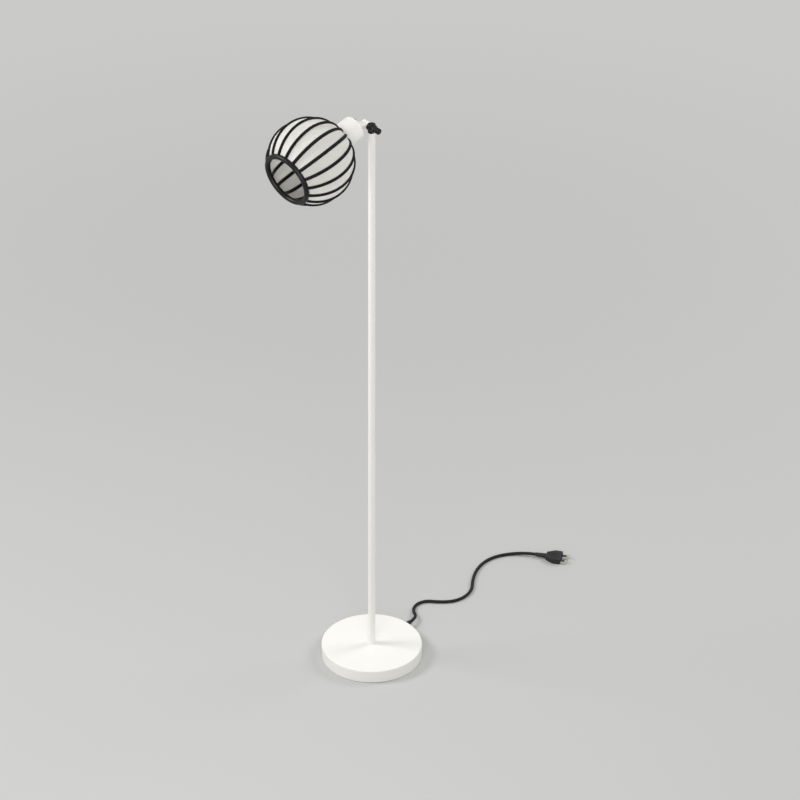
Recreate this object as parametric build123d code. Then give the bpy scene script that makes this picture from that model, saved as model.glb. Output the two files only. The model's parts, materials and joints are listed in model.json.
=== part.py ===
from build123d import *
from math import asin, cos, degrees, pi, radians, sin, sqrt, tan
import os

# Floor lamp: a weighted disc base, a slim pole, a tilting head with a ribbed ball shade, and a mains cord.
# Frame: the origin is on the floor under the pole, +Z is up, the head faces -Y and tilts about X.
# All sizes are in millimetres and degrees.

# Base
base_diameter = 220.0
base_height = 30.0
cover_wall = 2.0
cover_lift = 1.0
cover_inner_edge = 0.5
pad_thickness = 2.0
pad_inset = 6.0
plate_thickness = 2.0
plate_clearance = 0.5
ballast_clearance = 1.5
pocket_diameter = 68.0
pocket_depth = 14.0
slot_clearance = 1.5
slot_headroom = 2.0
plate_screw_count = 3
plate_screw_circle = 170.0
plate_screw_angle = 30.0
plate_screw_diameter = 4.0
plate_screw_head = 7.6
plate_screw_length = 12.0

# Threaded tubes and their nuts
thread_diameter = 10.0
thread_clearance = 0.2
nut_flats = 14.0
nut_height = 4.0
stud_washer_diameter = 30.0
stud_washer_thickness = 2.0
stud_tail = 1.5
stud_reach = 28.0
insert_length = 30.0

# Pole
pole_diameter = 16.0
pole_wall = 1.2
pivot_height = 1410.0

# Pole-top hub and tilt joint
hub_neck = 11.0
hub_width = 16.0
hub_diameter = 18.0
hub_edge = 0.8
hub_boss = 1.6
hub_top_rise = 0.5
hub_top_edge = 2.5
spigot_length = 30.0
spigot_clearance = 0.05
hub_bore = 8.0
spindle_wall = 1.2
running_clearance = 0.05
washer_thickness = 1.0
washer_margin = 0.2
set_screw_diameter = 4.0
set_screw_drop = 12.0
stop_pin_diameter = 2.0
stop_pin_web = 1.6
stop_pin_seat = 3.0
stop_slot_depth = 1.8
stop_slot_clearance = 0.15
stop_slot_margin = 2.0
tilt_down = 45.0
tilt_up = 90.0
knob_diameter = 14.0
knob_length = 14.0
knob_grips = 16
knob_grip_diameter = 1.4
knob_edge = 1.5
knob_floor = 2.5
knob_end_gap = 0.5

# Tilt arm
knuckle_diameter = 18.0
knuckle_length = 18.0
knuckle_edge = 0.8
cavity_diameter = 12.0
cavity_depth = 8.0
end_cap_thickness = 1.5
arm_root_inset = 2.5
foot_diameter = 25.0
foot_thickness = 4.0
hub_clearance = 1.0
nipple_seat = 10.0
nipple_length = 23.0
head_pitch = 9.6
head_rise = 15.0
cup_setback = 32.0

# Cup, lampholder and its fastenings
cup_wall = 1.5
cup_inner_edge = 2.5
cup_clearance = 5.0
lock_washer_diameter = 18.0
lock_washer_thickness = 0.8
head_nut_height = 3.5
holder_gap = 0.5
holder_boss_diameter = 18.0
holder_boss_height = 7.7
holder_cap_height = 23.7
holder_cap_step = 1.5
holder_wall = 2.0
holder_shoulder_length = 17.0
holder_shoulder_step = 2.75
holder_skirt_length = 18.0
holder_skirt_wall = 5.55
holder_mouth = 28.4
block_thickness = 9.5
block_clearance = 0.1
socket_depth = 25.0
shell_clearance = 0.3
shell_wall = 0.5
shell_lip = 2.0
contact_diameter = 7.0
contact_height = 1.5

# Lamp bulb
bulb_tip_diameter = 9.0
bulb_tip_height = 1.5
bulb_insulator_height = 3.0
bulb_cap_clearance = 0.3
bulb_body_gap = 0.5
bulb_body_length = 32.0
bulb_neck_diameter = 27.2
bulb_diameter = 60.0
bulb_globe_overlap = 20.0
bulb_wall = 1.2
led_board_thickness = 1.6
led_board_clearance = 1.0

# Shade
shade_diameter = 190.0
skin_thickness = 0.8
layer_gap = 0.15
rib_count = 18
rib_phase = 6.5
strut_width = 7.0
strut_thickness = 1.6
piping_width = 8.0
piping_thickness = 4.0
piping_tape_thickness = 1.0
piping_bead_width = 6.0
mouth_ring_diameter = 119.0
mouth_ring_section = 12.0
mouth_gap = 0.1
neck_plate_thickness = 2.0
neck_plate_inset = 1.0
neck_hole_clearance = 0.45
neck_gap = 0.6
strut_ring_clearance = 1.0
piping_end_outset = 2.6
shade_ring_wall = 3.2
shade_ring_height = 6.0
shade_ring_notches = 6
shade_ring_notch = 4.0
shade_ring_clearance = 0.05

# Push switch in the cup's rear wall
switch_edge_gap = 2.7
switch_diameter = 11.6
switch_depth = 12.5
switch_neck_diameter = 9.0
switch_neck_length = 2.0
switch_hole_clearance = 0.1
switch_nut_diameter = 12.0
switch_nut_height = 1.6
button_diameter = 6.0
button_reach = 2.6
button_travel = 2.5
button_length = 11.0
button_clearance = 0.05
button_floor_gap = 0.5

# Mains cord, its bushing in the base and its plug
cord_diameter = 7.0
cord_exit_turn = 6.0
cord_exit_height = 12.0
cord_lead_out = 24.0
cord_arc_share = 0.45
bushing_wall = 2.4
bushing_flange_step = 2.6
bushing_flange_thickness = 3.0
bushing_tail = 20.0
bushing_root_wall = 2.75
bushing_tip_wall = 1.2
bushing_inside = 6.0
bushing_nut_step = 1.6
bushing_nut_height = 3.0
bushing_hole_clearance = 0.1
wall_gap = 0.4
clamp_edge = 1.25
clamp_web = 1.25
clamp_length = 8.0
clamp_roof = 4.0
clamp_offset = 60.0
clamp_screw_diameter = 3.0
clamp_screw_head = 5.4
clamp_screw_head_height = 1.5
clamp_screw_floor = 2.0
terminal_width = 22.0
terminal_length = 12.0
terminal_headroom = 0.5
terminal_offset = 17.0
terminal_screw_diameter = 3.2
terminal_screw_depth = 5.0
flex_diameter = 3.6
flex_clearance = 1.45
flex_spindle_clearance = 1.0
flex_base_height = 7.5
flex_base_radius = 6.0
flex_pivot_radius = 5.0
flex_pivot_end = 8.0
flex_cavity_radius = 3.0
flex_foot_radius = 6.0
flex_end = 50.0
window_margin = 3.0
window_side_gap = 0.5
floor_gap = 0.05
plug_relief_length = 24.0
plug_relief_diameter = 11.0
plug_relief_tip_wall = 0.8
plug_length = 34.0
plug_width = 33.0
plug_thickness = 14.0
plug_back_width = 17.0
plug_edge = 2.5
plug_pin_diameter = 4.0
plug_pin_length = 19.0
plug_pin_spacing = 19.0
plug_pin_seat = 8.0
plug_sleeve_diameter = 3.9
plug_sleeve_length = 10.0
plug_sleeve_wall = 0.5

# How far a cutting tool runs past the face that it opens
cut_margin = 1.0

# Levels of the base, from the floor up
cord_radius = cord_diameter / 2
base_radius = base_diameter / 2
plate_level = pad_thickness
ballast_level = plate_level + plate_thickness
ballast_top = base_height - cover_wall
pocket_roof = ballast_level + pocket_depth
cover_edge = cover_inner_edge + cover_wall
ballast_radius = base_radius - cover_wall - ballast_clearance
stud_hole = thread_diameter + 2 * thread_clearance
nut_level = pocket_roof - stud_washer_thickness - nut_height
stud_bottom = nut_level - stud_tail
bushing_neck_diameter = cord_diameter + 2 * bushing_wall
bushing_flange_diameter = bushing_neck_diameter + 2 * bushing_flange_step
bushing_nut_diameter = bushing_neck_diameter + 2 * bushing_nut_step
bushing_end = bushing_flange_thickness + bushing_tail
clamp_screw_spacing = cord_diameter + clamp_screw_diameter + 2 * clamp_web
clamp_width = clamp_screw_spacing + clamp_screw_diameter + 2 * clamp_edge
clamp_screw_level = ballast_level + clamp_screw_floor
clamp_top = cord_exit_height + cord_radius + clamp_roof
slot_width = max(clamp_width, bushing_nut_diameter) + 2 * slot_clearance
slot_top = clamp_top + clamp_screw_head_height + slot_headroom
terminal_top = pocket_roof - terminal_headroom
thread_bore = flex_diameter + 2 * flex_clearance
channel_diameter = flex_diameter + 2 * flex_clearance

# Levels of the pole and the joint
pole_bore = pole_diameter - 2 * pole_wall
pole_top = pivot_height - hub_neck
spigot_diameter = pole_bore - 2 * spigot_clearance
spindle_bore = flex_diameter + 2 * flex_spindle_clearance
spindle_diameter = spindle_bore + 2 * spindle_wall
stop_pin_circle = spindle_diameter + stop_pin_diameter + 2 * stop_pin_web
cross_bore = spindle_diameter + 2 * running_clearance
washer_hole = cross_bore + 2 * washer_margin
washer_diameter = hub_diameter - 2 * washer_margin
hub_radius = hub_diameter / 2
hub_top = hub_radius + hub_top_rise
hub_reach = hub_top_edge + sqrt((hub_radius - hub_top_edge) ** 2 + (hub_top - hub_top_edge) ** 2)
head_offset = hub_width / 2 + washer_thickness + knuckle_length / 2
knuckle_face = -hub_width / 2 - washer_thickness
knob_start = hub_width / 2 + 2 * washer_thickness
spindle_start = -head_offset - knuckle_length / 2 + cavity_depth
spindle_end = knob_start + knob_length - knob_floor - knob_end_gap

# Levels along the head's axis, from the pivot towards the mouth
holder_skirt_diameter = holder_mouth + 2 * holder_skirt_wall
holder_shoulder_diameter = holder_skirt_diameter + 2 * holder_shoulder_step
holder_cap_diameter = holder_shoulder_diameter - 2 * holder_cap_step
shell_diameter = holder_mouth - 2 * shell_clearance
bulb_cap_diameter = shell_diameter - 2 * shell_wall - 2 * bulb_cap_clearance
cup_diameter = holder_shoulder_diameter + 2 * cup_clearance + 2 * cup_wall
cup_radius = cup_diameter / 2
cup_edge = cup_inner_edge + cup_wall
cup_inside = cup_setback + cup_wall
nipple_start = cup_setback - nipple_seat
head_nut_level = cup_inside + lock_washer_thickness
holder_start = head_nut_level + head_nut_height + holder_gap
holder_split = holder_start + holder_cap_height
cup_front = holder_split + holder_shoulder_length
holder_end = cup_front + holder_skirt_length
socket_floor = holder_end - socket_depth
neck_front = cup_front + neck_plate_thickness
neck_plate_radius = cup_radius - neck_plate_inset
shade_ring_hole = holder_skirt_diameter + 2 * shade_ring_clearance
shade_ring_diameter = shade_ring_hole + 2 * shade_ring_wall
skin_radius = shade_diameter / 2
skin_inner = skin_radius - skin_thickness
skin_middle = skin_radius - skin_thickness / 2
strut_outer = skin_inner - layer_gap
strut_inner = strut_outer - strut_thickness
piping_inner = skin_radius + layer_gap
piping_outer = piping_inner + piping_thickness
skin_neck = neck_plate_radius + neck_gap
ball_level = neck_front + sqrt(skin_middle ** 2 - skin_neck ** 2)
mouth_ring_radius = mouth_ring_diameter / 2
mouth_level = ball_level + sqrt(skin_middle ** 2 - mouth_ring_radius ** 2)
bulb_tip_level = socket_floor + contact_height
bulb_insulator_level = bulb_tip_level + bulb_tip_height
bulb_cap_level = bulb_insulator_level + bulb_insulator_height
bulb_body_level = holder_end + bulb_body_gap
bulb_globe_level = bulb_body_level + bulb_body_length
bulb_radius = bulb_diameter / 2
bulb_centre = bulb_globe_level + bulb_globe_overlap
globe_mouth = sqrt(bulb_radius ** 2 - bulb_globe_overlap ** 2)
switch_offset = cup_radius - cup_wall - switch_edge_gap - switch_diameter / 2
button_start = cup_setback - switch_neck_length - button_reach

# The joint and the head are drawn about the pivot and lifted to it at the end
pivot_place = Pos(0, 0, pivot_height)

# The head's own frame: X along the hinge, Z along the head's axis to the mouth, Y up
pitch = radians(head_pitch)
head_forward = Vector(0, -cos(pitch), -sin(pitch))
head_up = Vector(0, -sin(pitch), cos(pitch))
head_place = Plane(
    origin=Vector(-head_offset, 0, 0) + head_up * head_rise, x_dir=(1, 0, 0), z_dir=head_forward
).location

# The cord leaves the base near its rear, so the base's inner parts are drawn along +Y and turned together
base_turn = Rot(0, 0, cord_exit_turn)
exit_direction = Vector(-sin(radians(cord_exit_turn)), cos(radians(cord_exit_turn)), 0)

# Route of the free cord after the bushing's tip, chosen by hand: x and y on the floor, and the cord's height
floor_line = cord_radius + floor_gap
plug_axis = plug_thickness / 2
plug_front = plug_relief_length + plug_length
cord_start = exit_direction * (base_radius + bushing_end) + Vector(0, 0, cord_exit_height)
cord_route = [
    cord_start,
    cord_start + exit_direction * cord_lead_out,
    Vector(-48.5, 175.5, floor_line),
    Vector(-61.0, 197.5, floor_line),
    Vector(-55.5, 222.0, floor_line),
    Vector(-31.0, 240.0, floor_line),
    Vector(-10.5, 263.5, floor_line),
    Vector(-4.5, 293.0, floor_line),
    Vector(-13.0, 323.5, floor_line),
    Vector(-37.5, 349.5, floor_line),
    Vector(-57.0, 378.5, floor_line),
    Vector(-69.0, 412.5, floor_line),
    Vector(-67.0, 448.0, floor_line),
    Vector(-49.5, 481.0, floor_line),
    Vector(-21.5, 504.5, plug_axis),
    Vector(-6.5, 513.5, plug_axis),
]


def turned(points, rounds=()):
    """A solid of revolution about Z from (radius, height) points, with some corners rounded."""
    face = make_face(Plane.XZ * Polyline(*points, close=True))
    for corner, radius in rounds:
        vertex = face.vertices().sort_by_distance((corner[0], 0, corner[1]))[0]
        face = fillet(vertex, radius)
    return revolve(face, Axis.Z)


def ring(outer, inner, bottom, top):
    """A plain tube about Z, given by its diameters and its two ends."""
    return turned([(inner / 2, bottom), (outer / 2, bottom), (outer / 2, top), (inner / 2, top)])


def rod(diameter, bottom, top):
    """A plain cylinder about Z."""
    standing = (Align.CENTER, Align.CENTER, Align.MIN)
    return Pos(0, 0, bottom) * Cylinder(diameter / 2, top - bottom, align=standing)


def hexagon(flats, hole, bottom, top):
    """A hexagonal nut about Z."""
    body = extrude(RegularPolygon(flats / 2, 6, major_radius=False), top - bottom)
    return Pos(0, 0, bottom) * body - rod(hole, bottom - cut_margin, top + cut_margin)


def sector(inner, outer, start, end):
    """A flat piece of a ring between two radii and two angles."""
    outside = CenterArc((0, 0), outer, start, end - start)
    inside = CenterArc((0, 0), inner, start, end - start)
    return make_face([outside, Line(outside @ 1, inside @ 1), inside, Line(inside @ 0, outside @ 0)])


def tube_along(points, radii, diameter):
    """A round cord along straight runs joined by tangent arcs."""
    path = FilletPolyline(*points, radius=radii)
    section = Plane(origin=path @ 0, z_dir=path % 0) * Circle(diameter / 2)
    return sweep(section, path), path.length


def along_x(shape):
    """Turns a solid drawn about Z to lie on the hinge axis, with the pivot at the origin."""
    return Rot(0, 90, 0) * shape


def along_exit(shape, distance):
    """Turns a solid drawn about Z to lie on the cord's axis in the base, which is drawn along +Y."""
    return Pos(0, distance, cord_exit_height) * Rot(-90, 0, 0) * shape


def around_screws(shape):
    """Copies of a solid at the base plate's screws, none of them on the cord's slot."""
    places = PolarLocations(plate_screw_circle / 2, plate_screw_count, start_angle=plate_screw_angle)
    return [place * shape for place in places]


# Base: a spun cover over a cast weight, closed below by a plate with a foam pad
def make_base_cover():
    top = (base_radius, base_height)
    inside = (base_radius - cover_wall, ballast_top)
    profile = [
        (stud_hole / 2, ballast_top),
        inside,
        (base_radius - cover_wall, cover_lift),
        (base_radius, cover_lift),
        top,
        (stud_hole / 2, base_height),
    ]
    shell = turned(profile, [(top, cover_edge), (inside, cover_inner_edge)])
    hole = rod(bushing_neck_diameter + 2 * bushing_hole_clearance, -2 * cover_wall, cover_wall)
    return shell - along_exit(hole, base_radius)


def make_base_ballast():
    weight = rod(2 * ballast_radius, ballast_level, ballast_top) - rod(stud_hole, 0, base_height)
    weight -= rod(pocket_diameter, ballast_level, pocket_roof)
    slot_height = slot_top - ballast_level
    slot = Pos(0, 0, ballast_level) * Box(
        slot_width, base_radius, slot_height, align=(Align.CENTER, Align.MIN, Align.MIN)
    )
    slot -= rod(pocket_diameter, pocket_roof, base_height)
    weight -= slot
    for hole in around_screws(rod(plate_screw_diameter, ballast_level, plate_level + plate_screw_length)):
        weight -= hole
    return weight


def plate_screw():
    head = plate_screw_head / 2
    shank = plate_screw_diameter / 2
    return turned(
        [
            (0, plate_level),
            (head, plate_level),
            (shank, plate_level + plate_thickness),
            (shank, plate_level + plate_screw_length),
            (0, plate_level + plate_screw_length),
        ]
    )


def make_base_plate():
    plate = rod(base_diameter - 2 * cover_wall - 2 * plate_clearance, plate_level, ballast_level)
    for screw in around_screws(plate_screw()):
        plate -= screw
    return plate


def make_base_pad():
    return rod(base_diameter - 2 * pad_inset, 0, pad_thickness)


# Fastening of the pole: a hollow stud, with its washer and nut in the weight's pocket
def make_pole_stud():
    return ring(thread_diameter, thread_bore, stud_bottom, base_height + stud_reach)


def make_stud_washer():
    return ring(stud_washer_diameter, stud_hole, pocket_roof - stud_washer_thickness, pocket_roof)


def make_stud_nut():
    return hexagon(nut_flats, thread_diameter, nut_level, nut_level + nut_height)


def make_pole_insert():
    return ring(pole_bore, thread_diameter, base_height, base_height + insert_length)


def set_screw():
    place = Pos(0, 0, -hub_neck - set_screw_drop) * Rot(-90, 0, 0)
    return place * rod(set_screw_diameter, hub_bore / 2, pole_diameter / 2)


def make_pole_tube():
    return ring(pole_diameter, pole_bore, base_height, pole_top) - pivot_place * set_screw()


# Cord's way through the base: bushing, clamp, terminal block and the inner lead
def make_cord_bushing():
    bore = cord_diameter / 2
    root = (bore + bushing_root_wall, bushing_flange_thickness)
    profile = [
        (bore, -cover_wall - bushing_inside),
        (bushing_neck_diameter / 2, -cover_wall - bushing_inside),
        (bushing_neck_diameter / 2, 0),
        (bushing_flange_diameter / 2, 0),
        (bushing_flange_diameter / 2, bushing_flange_thickness),
        root,
        (bore + bushing_tip_wall, bushing_end),
        (bore, bushing_end),
    ]
    return along_exit(turned(profile, [(root, bushing_flange_thickness / 3)]), base_radius)


def make_bushing_nut():
    near = -cover_wall - wall_gap
    return along_exit(
        ring(bushing_nut_diameter, bushing_neck_diameter, near - bushing_nut_height, near), base_radius
    )


def clamp_screw_places():
    return [Pos(side * clamp_screw_spacing / 2, clamp_offset + clamp_length / 2, 0) for side in (-1, 1)]


def clamp_half(bottom, top):
    half = Pos(0, clamp_offset, bottom) * Box(
        clamp_width, clamp_length, top - bottom, align=(Align.CENTER, Align.MIN, Align.MIN)
    )
    half -= along_exit(rod(cord_diameter, clamp_offset - clamp_length, clamp_offset + 2 * clamp_length), 0)
    for place in clamp_screw_places():
        half -= place * rod(clamp_screw_diameter, clamp_screw_level, clamp_top + cut_margin)
    return half


def make_clamp_base():
    return clamp_half(ballast_level, cord_exit_height)


def make_clamp_saddle():
    return clamp_half(cord_exit_height, clamp_top)


def make_clamp_screws():
    screw = rod(clamp_screw_diameter, clamp_screw_level, clamp_top)
    screw += rod(clamp_screw_head, clamp_top, clamp_top + clamp_screw_head_height)
    return Compound([place * screw for place in clamp_screw_places()])


def terminal_screw_places():
    quarter = terminal_width / 4
    middle = terminal_offset + terminal_length / 2
    row = terminal_length / 4
    return [Pos(side * quarter, middle + end * row, 0) for side in (-1, 1) for end in (-1, 1)]


def make_terminal_screws():
    screw = rod(terminal_screw_diameter, terminal_top - terminal_screw_depth, terminal_top)
    return Compound([place * screw for place in terminal_screw_places()])


def make_terminal_block():
    height = terminal_top - ballast_level
    block = Pos(0, terminal_offset, ballast_level) * Box(
        terminal_width, terminal_length, height, align=(Align.CENTER, Align.MIN, Align.MIN)
    )
    for screw in make_terminal_screws().solids():
        block -= screw
    return block


def make_cord_tail():
    return along_exit(rod(cord_diameter, terminal_offset + terminal_length, base_radius + bushing_end), 0)


def make_pole_lead():
    start = exit_direction * terminal_offset + Vector(0, 0, flex_base_height)
    points = [
        start,
        Vector(0, 0, flex_base_height),
        Vector(0, 0, pivot_height),
        Vector(-flex_pivot_end, 0, pivot_height),
    ]
    lead, length = tube_along(points, [flex_base_radius, flex_pivot_radius], flex_diameter)
    print("pole lead length", round(length, 1))
    return lead


# Free cord and plug
def cord_radii():
    radii = []
    for before, corner, after in zip(cord_route, cord_route[1:], cord_route[2:]):
        first = corner - before
        second = after - corner
        shorter = min(first.length, second.length)
        radii.append(cord_arc_share * shorter / tan(radians(first.get_angle(second)) / 2))
    return radii


def make_mains_cord():
    radii = cord_radii()
    cord, length = tube_along(cord_route, radii, cord_diameter)
    print("cord radii", [round(radius, 1) for radius in radii])
    print("cord length", round(length, 1))
    print("cord volume over section times length", round(cord.volume / (pi * cord_radius ** 2 * length), 5))
    return cord


def plug_place():
    """The plug's frame: Z along the cord's last run, X level, at the cord's end."""
    forward = (cord_route[-1] - cord_route[-2]).normalized()
    return Plane(origin=cord_route[-1], x_dir=forward.cross(Vector(0, 0, -1)), z_dir=forward).location


def plug_pin_places():
    return [Pos(side * plug_pin_spacing / 2, 0, 0) for side in (-1, 1)]


def make_plug_relief():
    profile = [
        (0, 0),
        (cord_radius + plug_relief_tip_wall, 0),
        (plug_relief_diameter / 2, plug_relief_length),
        (0, plug_relief_length),
    ]
    return plug_place() * turned(profile)


def make_plug_body():
    half = plug_width / 2
    back = plug_back_width / 2
    outline = make_face(
        Polyline(
            (-back, plug_relief_length),
            (back, plug_relief_length),
            (half, plug_relief_length + plug_length / 2),
            (half, plug_front),
            (-half, plug_front),
            (-half, plug_relief_length + plug_length / 2),
            close=True,
        )
    )
    body = Pos(0, plug_thickness / 2, 0) * Rot(90, 0, 0) * extrude(outline, plug_thickness)
    body = fillet(body.edges().filter_by(Axis.Z, reverse=True).filter_by(Axis.X, reverse=True), plug_edge / 2)
    for place in plug_pin_places():
        body -= place * rod(plug_pin_diameter, plug_front - plug_pin_seat, plug_front + cut_margin)
    return plug_place() * body


def make_plug_pins():
    tip = plug_front + plug_pin_length
    core = plug_sleeve_diameter / 2 - plug_sleeve_wall
    sleeve_end = plug_front + plug_sleeve_length
    seat = plug_front - plug_pin_seat
    full = plug_pin_diameter / 2
    profile = [
        (0, seat),
        (full, seat),
        (full, plug_front),
        (core, plug_front),
        (core, sleeve_end),
        (full, sleeve_end),
        (full, tip),
        (0, tip),
    ]
    pin = turned(profile, [((full, tip), full / 2)])
    return plug_place() * Compound([place * pin for place in plug_pin_places()])


def make_plug_sleeves():
    core = plug_sleeve_diameter - 2 * plug_sleeve_wall
    sleeve = ring(plug_sleeve_diameter, core, plug_front, plug_front + plug_sleeve_length)
    return plug_place() * Compound([place * sleeve for place in plug_pin_places()])


# Hub on the pole: a round post with two flats, a boss on each flat and the cross bore for the spindle
def stop_pin():
    free_end = knuckle_face - stop_slot_depth + stop_slot_clearance
    pin = rod(stop_pin_diameter, free_end, -hub_width / 2 + stop_pin_seat)
    return Pos(0, 0, stop_pin_circle / 2) * along_x(pin)


def make_pivot_hub():
    barrel = rod(hub_diameter, -hub_width / 2, hub_width / 2)
    barrel = along_x(chamfer(barrel.edges(), hub_edge))
    profile = [(0, -hub_neck), (hub_radius, -hub_neck), (hub_radius, hub_top), (0, hub_top)]
    post = turned(profile, [((hub_radius, hub_top), hub_top_edge)])
    post &= Box(hub_width - 2 * hub_boss, 2 * hub_diameter, 2 * (hub_top + hub_neck))
    hub = barrel + post + rod(spigot_diameter, -hub_neck - spigot_length, -hub_neck)
    hub -= rod(hub_bore, -hub_neck - spigot_length, 0)
    hub -= along_x(rod(cross_bore, -hub_width, hub_width))
    hub -= set_screw()
    return hub - stop_pin()


def make_friction_washer():
    return along_x(ring(washer_diameter, washer_hole, knuckle_face, -hub_width / 2)) - stop_pin()


def make_thrust_washer():
    return along_x(ring(washer_diameter, washer_hole, hub_width / 2, hub_width / 2 + washer_thickness))


def make_spring_washer():
    near = hub_width / 2 + washer_thickness + running_clearance
    return along_x(ring(knob_diameter, washer_hole, near, knob_start))


def hinge_sector(inner, outer, start, end, position, depth):
    """A piece of a ring about the hinge, with angles from +Y towards +Z, reaching from position along +X."""
    plane = Plane(origin=(position, 0, 0), x_dir=(0, 1, 0), z_dir=(1, 0, 0))
    return plane * extrude(sector(inner, outer, start, end), depth)


def make_spindle():
    tube = along_x(ring(spindle_diameter, spindle_bore, spindle_start, spindle_end))
    half_lead = degrees(asin(flex_diameter / spindle_bore)) + window_margin
    side = flex_diameter / 2 + window_side_gap
    window = hinge_sector(
        spindle_bore / 4,
        spindle_diameter,
        270 - tilt_down - half_lead,
        270 + tilt_up + half_lead,
        side - flex_pivot_radius,
        flex_pivot_radius,
    )
    return tube - window


def make_clamp_knob():
    end = knob_start + knob_length
    bore = spindle_diameter / 2 + running_clearance
    profile = [
        (bore, knob_start),
        (knob_diameter / 2, knob_start),
        (knob_diameter / 2, end),
        (0, end),
        (0, end - knob_floor),
        (bore, end - knob_floor),
    ]
    outer_edge = ((knob_diameter / 2, end), knob_edge)
    inner_edge = ((knob_diameter / 2, knob_start), knob_edge / 2)
    knob = turned(profile, [outer_edge, inner_edge])
    groove = rod(knob_grip_diameter, knob_start - cut_margin, end + cut_margin)
    for place in PolarLocations(knob_diameter / 2 + knob_grip_diameter / 4, knob_grips):
        knob -= place * groove
    return along_x(knob)


# Tilt arm: a knuckle beside the hub, and a tapered neck to the foot that carries the cup
def make_tilt_arm():
    middle = Pos(0, -head_rise, 0) * Rot(0, 90, 0)
    half = knuckle_length / 2
    knuckle = middle * chamfer(rod(knuckle_diameter, -half, half).edges(), knuckle_edge)
    foot_level = cup_setback - foot_thickness
    root_plane = Plane(origin=(0, -head_rise, 0), z_dir=(0, head_rise, foot_level))
    root = Circle(knuckle_length / 2 - arm_root_inset)
    neck = loft([root_plane * root, Pos(0, 0, foot_level) * Circle(foot_diameter / 2)])
    arm = knuckle + neck + rod(foot_diameter, foot_level, cup_setback)
    arm -= middle * rod(spindle_diameter, -half, half)
    arm -= middle * rod(cavity_diameter, -half, cavity_depth - half)
    arm -= rod(thread_diameter, nipple_start, cup_setback)
    channel_start = Vector(cavity_depth / 2 - half, -head_rise, 0)
    channel = Vector(0, 0, nipple_start) - channel_start
    channel_end = channel.length + channel_diameter / 2
    arm -= Plane(origin=channel_start, z_dir=channel) * rod(channel_diameter, 0, channel_end)
    half_pin = degrees(asin(stop_pin_diameter / stop_pin_circle)) + stop_slot_margin
    reach = stop_pin_diameter / 2 + stop_slot_clearance
    slot = hinge_sector(
        stop_pin_circle / 2 - reach,
        stop_pin_circle / 2 + reach,
        90 - tilt_down - half_pin,
        90 + tilt_up + half_pin,
        knuckle_face - stop_slot_depth,
        stop_slot_depth,
    )
    hub_room = along_x(rod(2 * (hub_reach + hub_clearance), knuckle_face, hub_width))
    return head_place * arm - slot - hub_room


def make_arm_end_cap():
    end = -knuckle_length / 2
    cap = rod(cavity_diameter, end, end + end_cap_thickness)
    return head_place * Pos(0, -head_rise, 0) * Rot(0, 90, 0) * cap


def make_head_nipple():
    return head_place * ring(thread_diameter, thread_bore, nipple_start, nipple_start + nipple_length)


def make_head_lock_washer():
    return head_place * ring(lock_washer_diameter, thread_diameter, cup_inside, head_nut_level)


def make_head_nut():
    return head_place * hexagon(nut_flats, thread_diameter, head_nut_level, head_nut_level + head_nut_height)


def make_head_lead():
    half = knuckle_length / 2
    points = [
        Vector(head_offset - flex_pivot_end, -head_rise, 0),
        Vector(cavity_depth / 2 - half, -head_rise, 0),
        Vector(0, 0, nipple_start),
        Vector(0, 0, flex_end),
    ]
    lead, length = tube_along(points, [flex_cavity_radius, flex_foot_radius], flex_diameter)
    print("head lead length", round(length, 1))
    return head_place * lead


# Cup and lampholder
def make_lampholder_cup():
    corner = (cup_radius, cup_setback)
    inside = (cup_radius - cup_wall, cup_inside)
    hole = thread_diameter / 2 + thread_clearance
    profile = [
        (hole, cup_setback),
        corner,
        (cup_radius, cup_front),
        (cup_radius - cup_wall, cup_front),
        inside,
        (hole, cup_inside),
    ]
    cup = turned(profile, [(corner, cup_edge), (inside, cup_inner_edge)])
    return head_place * (cup - Pos(0, switch_offset, 0) * rod(
        switch_neck_diameter + 2 * switch_hole_clearance, cup_setback - cut_margin, cup_inside + cut_margin
    ))


def make_lampholder_cap():
    hole = thread_diameter / 2
    boss = holder_boss_diameter / 2
    outside = holder_cap_diameter / 2
    inside = outside - holder_wall
    slope_start = holder_start + holder_boss_height - holder_wall
    slope_end = slope_start + outside - boss
    profile = [
        (hole, holder_start),
        (boss, holder_start),
        (boss, slope_start),
        (outside, slope_end),
        (outside, holder_split),
        (inside, holder_split),
        (inside, slope_end + holder_wall / 2),
        (boss, holder_start + holder_boss_height + holder_wall / 2),
        (hole, holder_start + holder_boss_height + holder_wall / 2),
    ]
    return head_place * turned(profile)


def make_lampholder_body():
    inside = holder_cap_diameter / 2 - holder_wall
    shoulder = holder_shoulder_diameter / 2
    skirt = holder_skirt_diameter / 2
    mouth = holder_mouth / 2
    profile = [
        (inside, holder_split),
        (shoulder, holder_split),
        (shoulder, cup_front),
        (skirt, cup_front),
        (skirt, holder_end),
        (mouth, holder_end),
        (mouth, socket_floor),
        (inside, socket_floor),
    ]
    return head_place * turned(profile)


def make_contact_block():
    inside = holder_cap_diameter / 2 - holder_wall - block_clearance
    return head_place * rod(2 * inside, socket_floor - block_thickness, socket_floor)


def make_screw_shell():
    inside = shell_diameter - 2 * shell_wall
    return head_place * ring(shell_diameter, inside, socket_floor, holder_end - shell_lip)


def make_centre_contact():
    edge = contact_diameter / 2
    top = (edge, bulb_tip_level)
    profile = [(0, socket_floor), (edge, socket_floor), top, (0, bulb_tip_level)]
    return head_place * turned(profile, [(top, contact_height / 3)])


# Bulb
def make_bulb_tip():
    return head_place * rod(bulb_tip_diameter, bulb_tip_level, bulb_insulator_level)


def make_bulb_insulator():
    profile = [
        (0, bulb_insulator_level),
        (bulb_tip_diameter / 2, bulb_insulator_level),
        (bulb_cap_diameter / 2, bulb_cap_level),
        (0, bulb_cap_level),
    ]
    return head_place * turned(profile)


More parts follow.
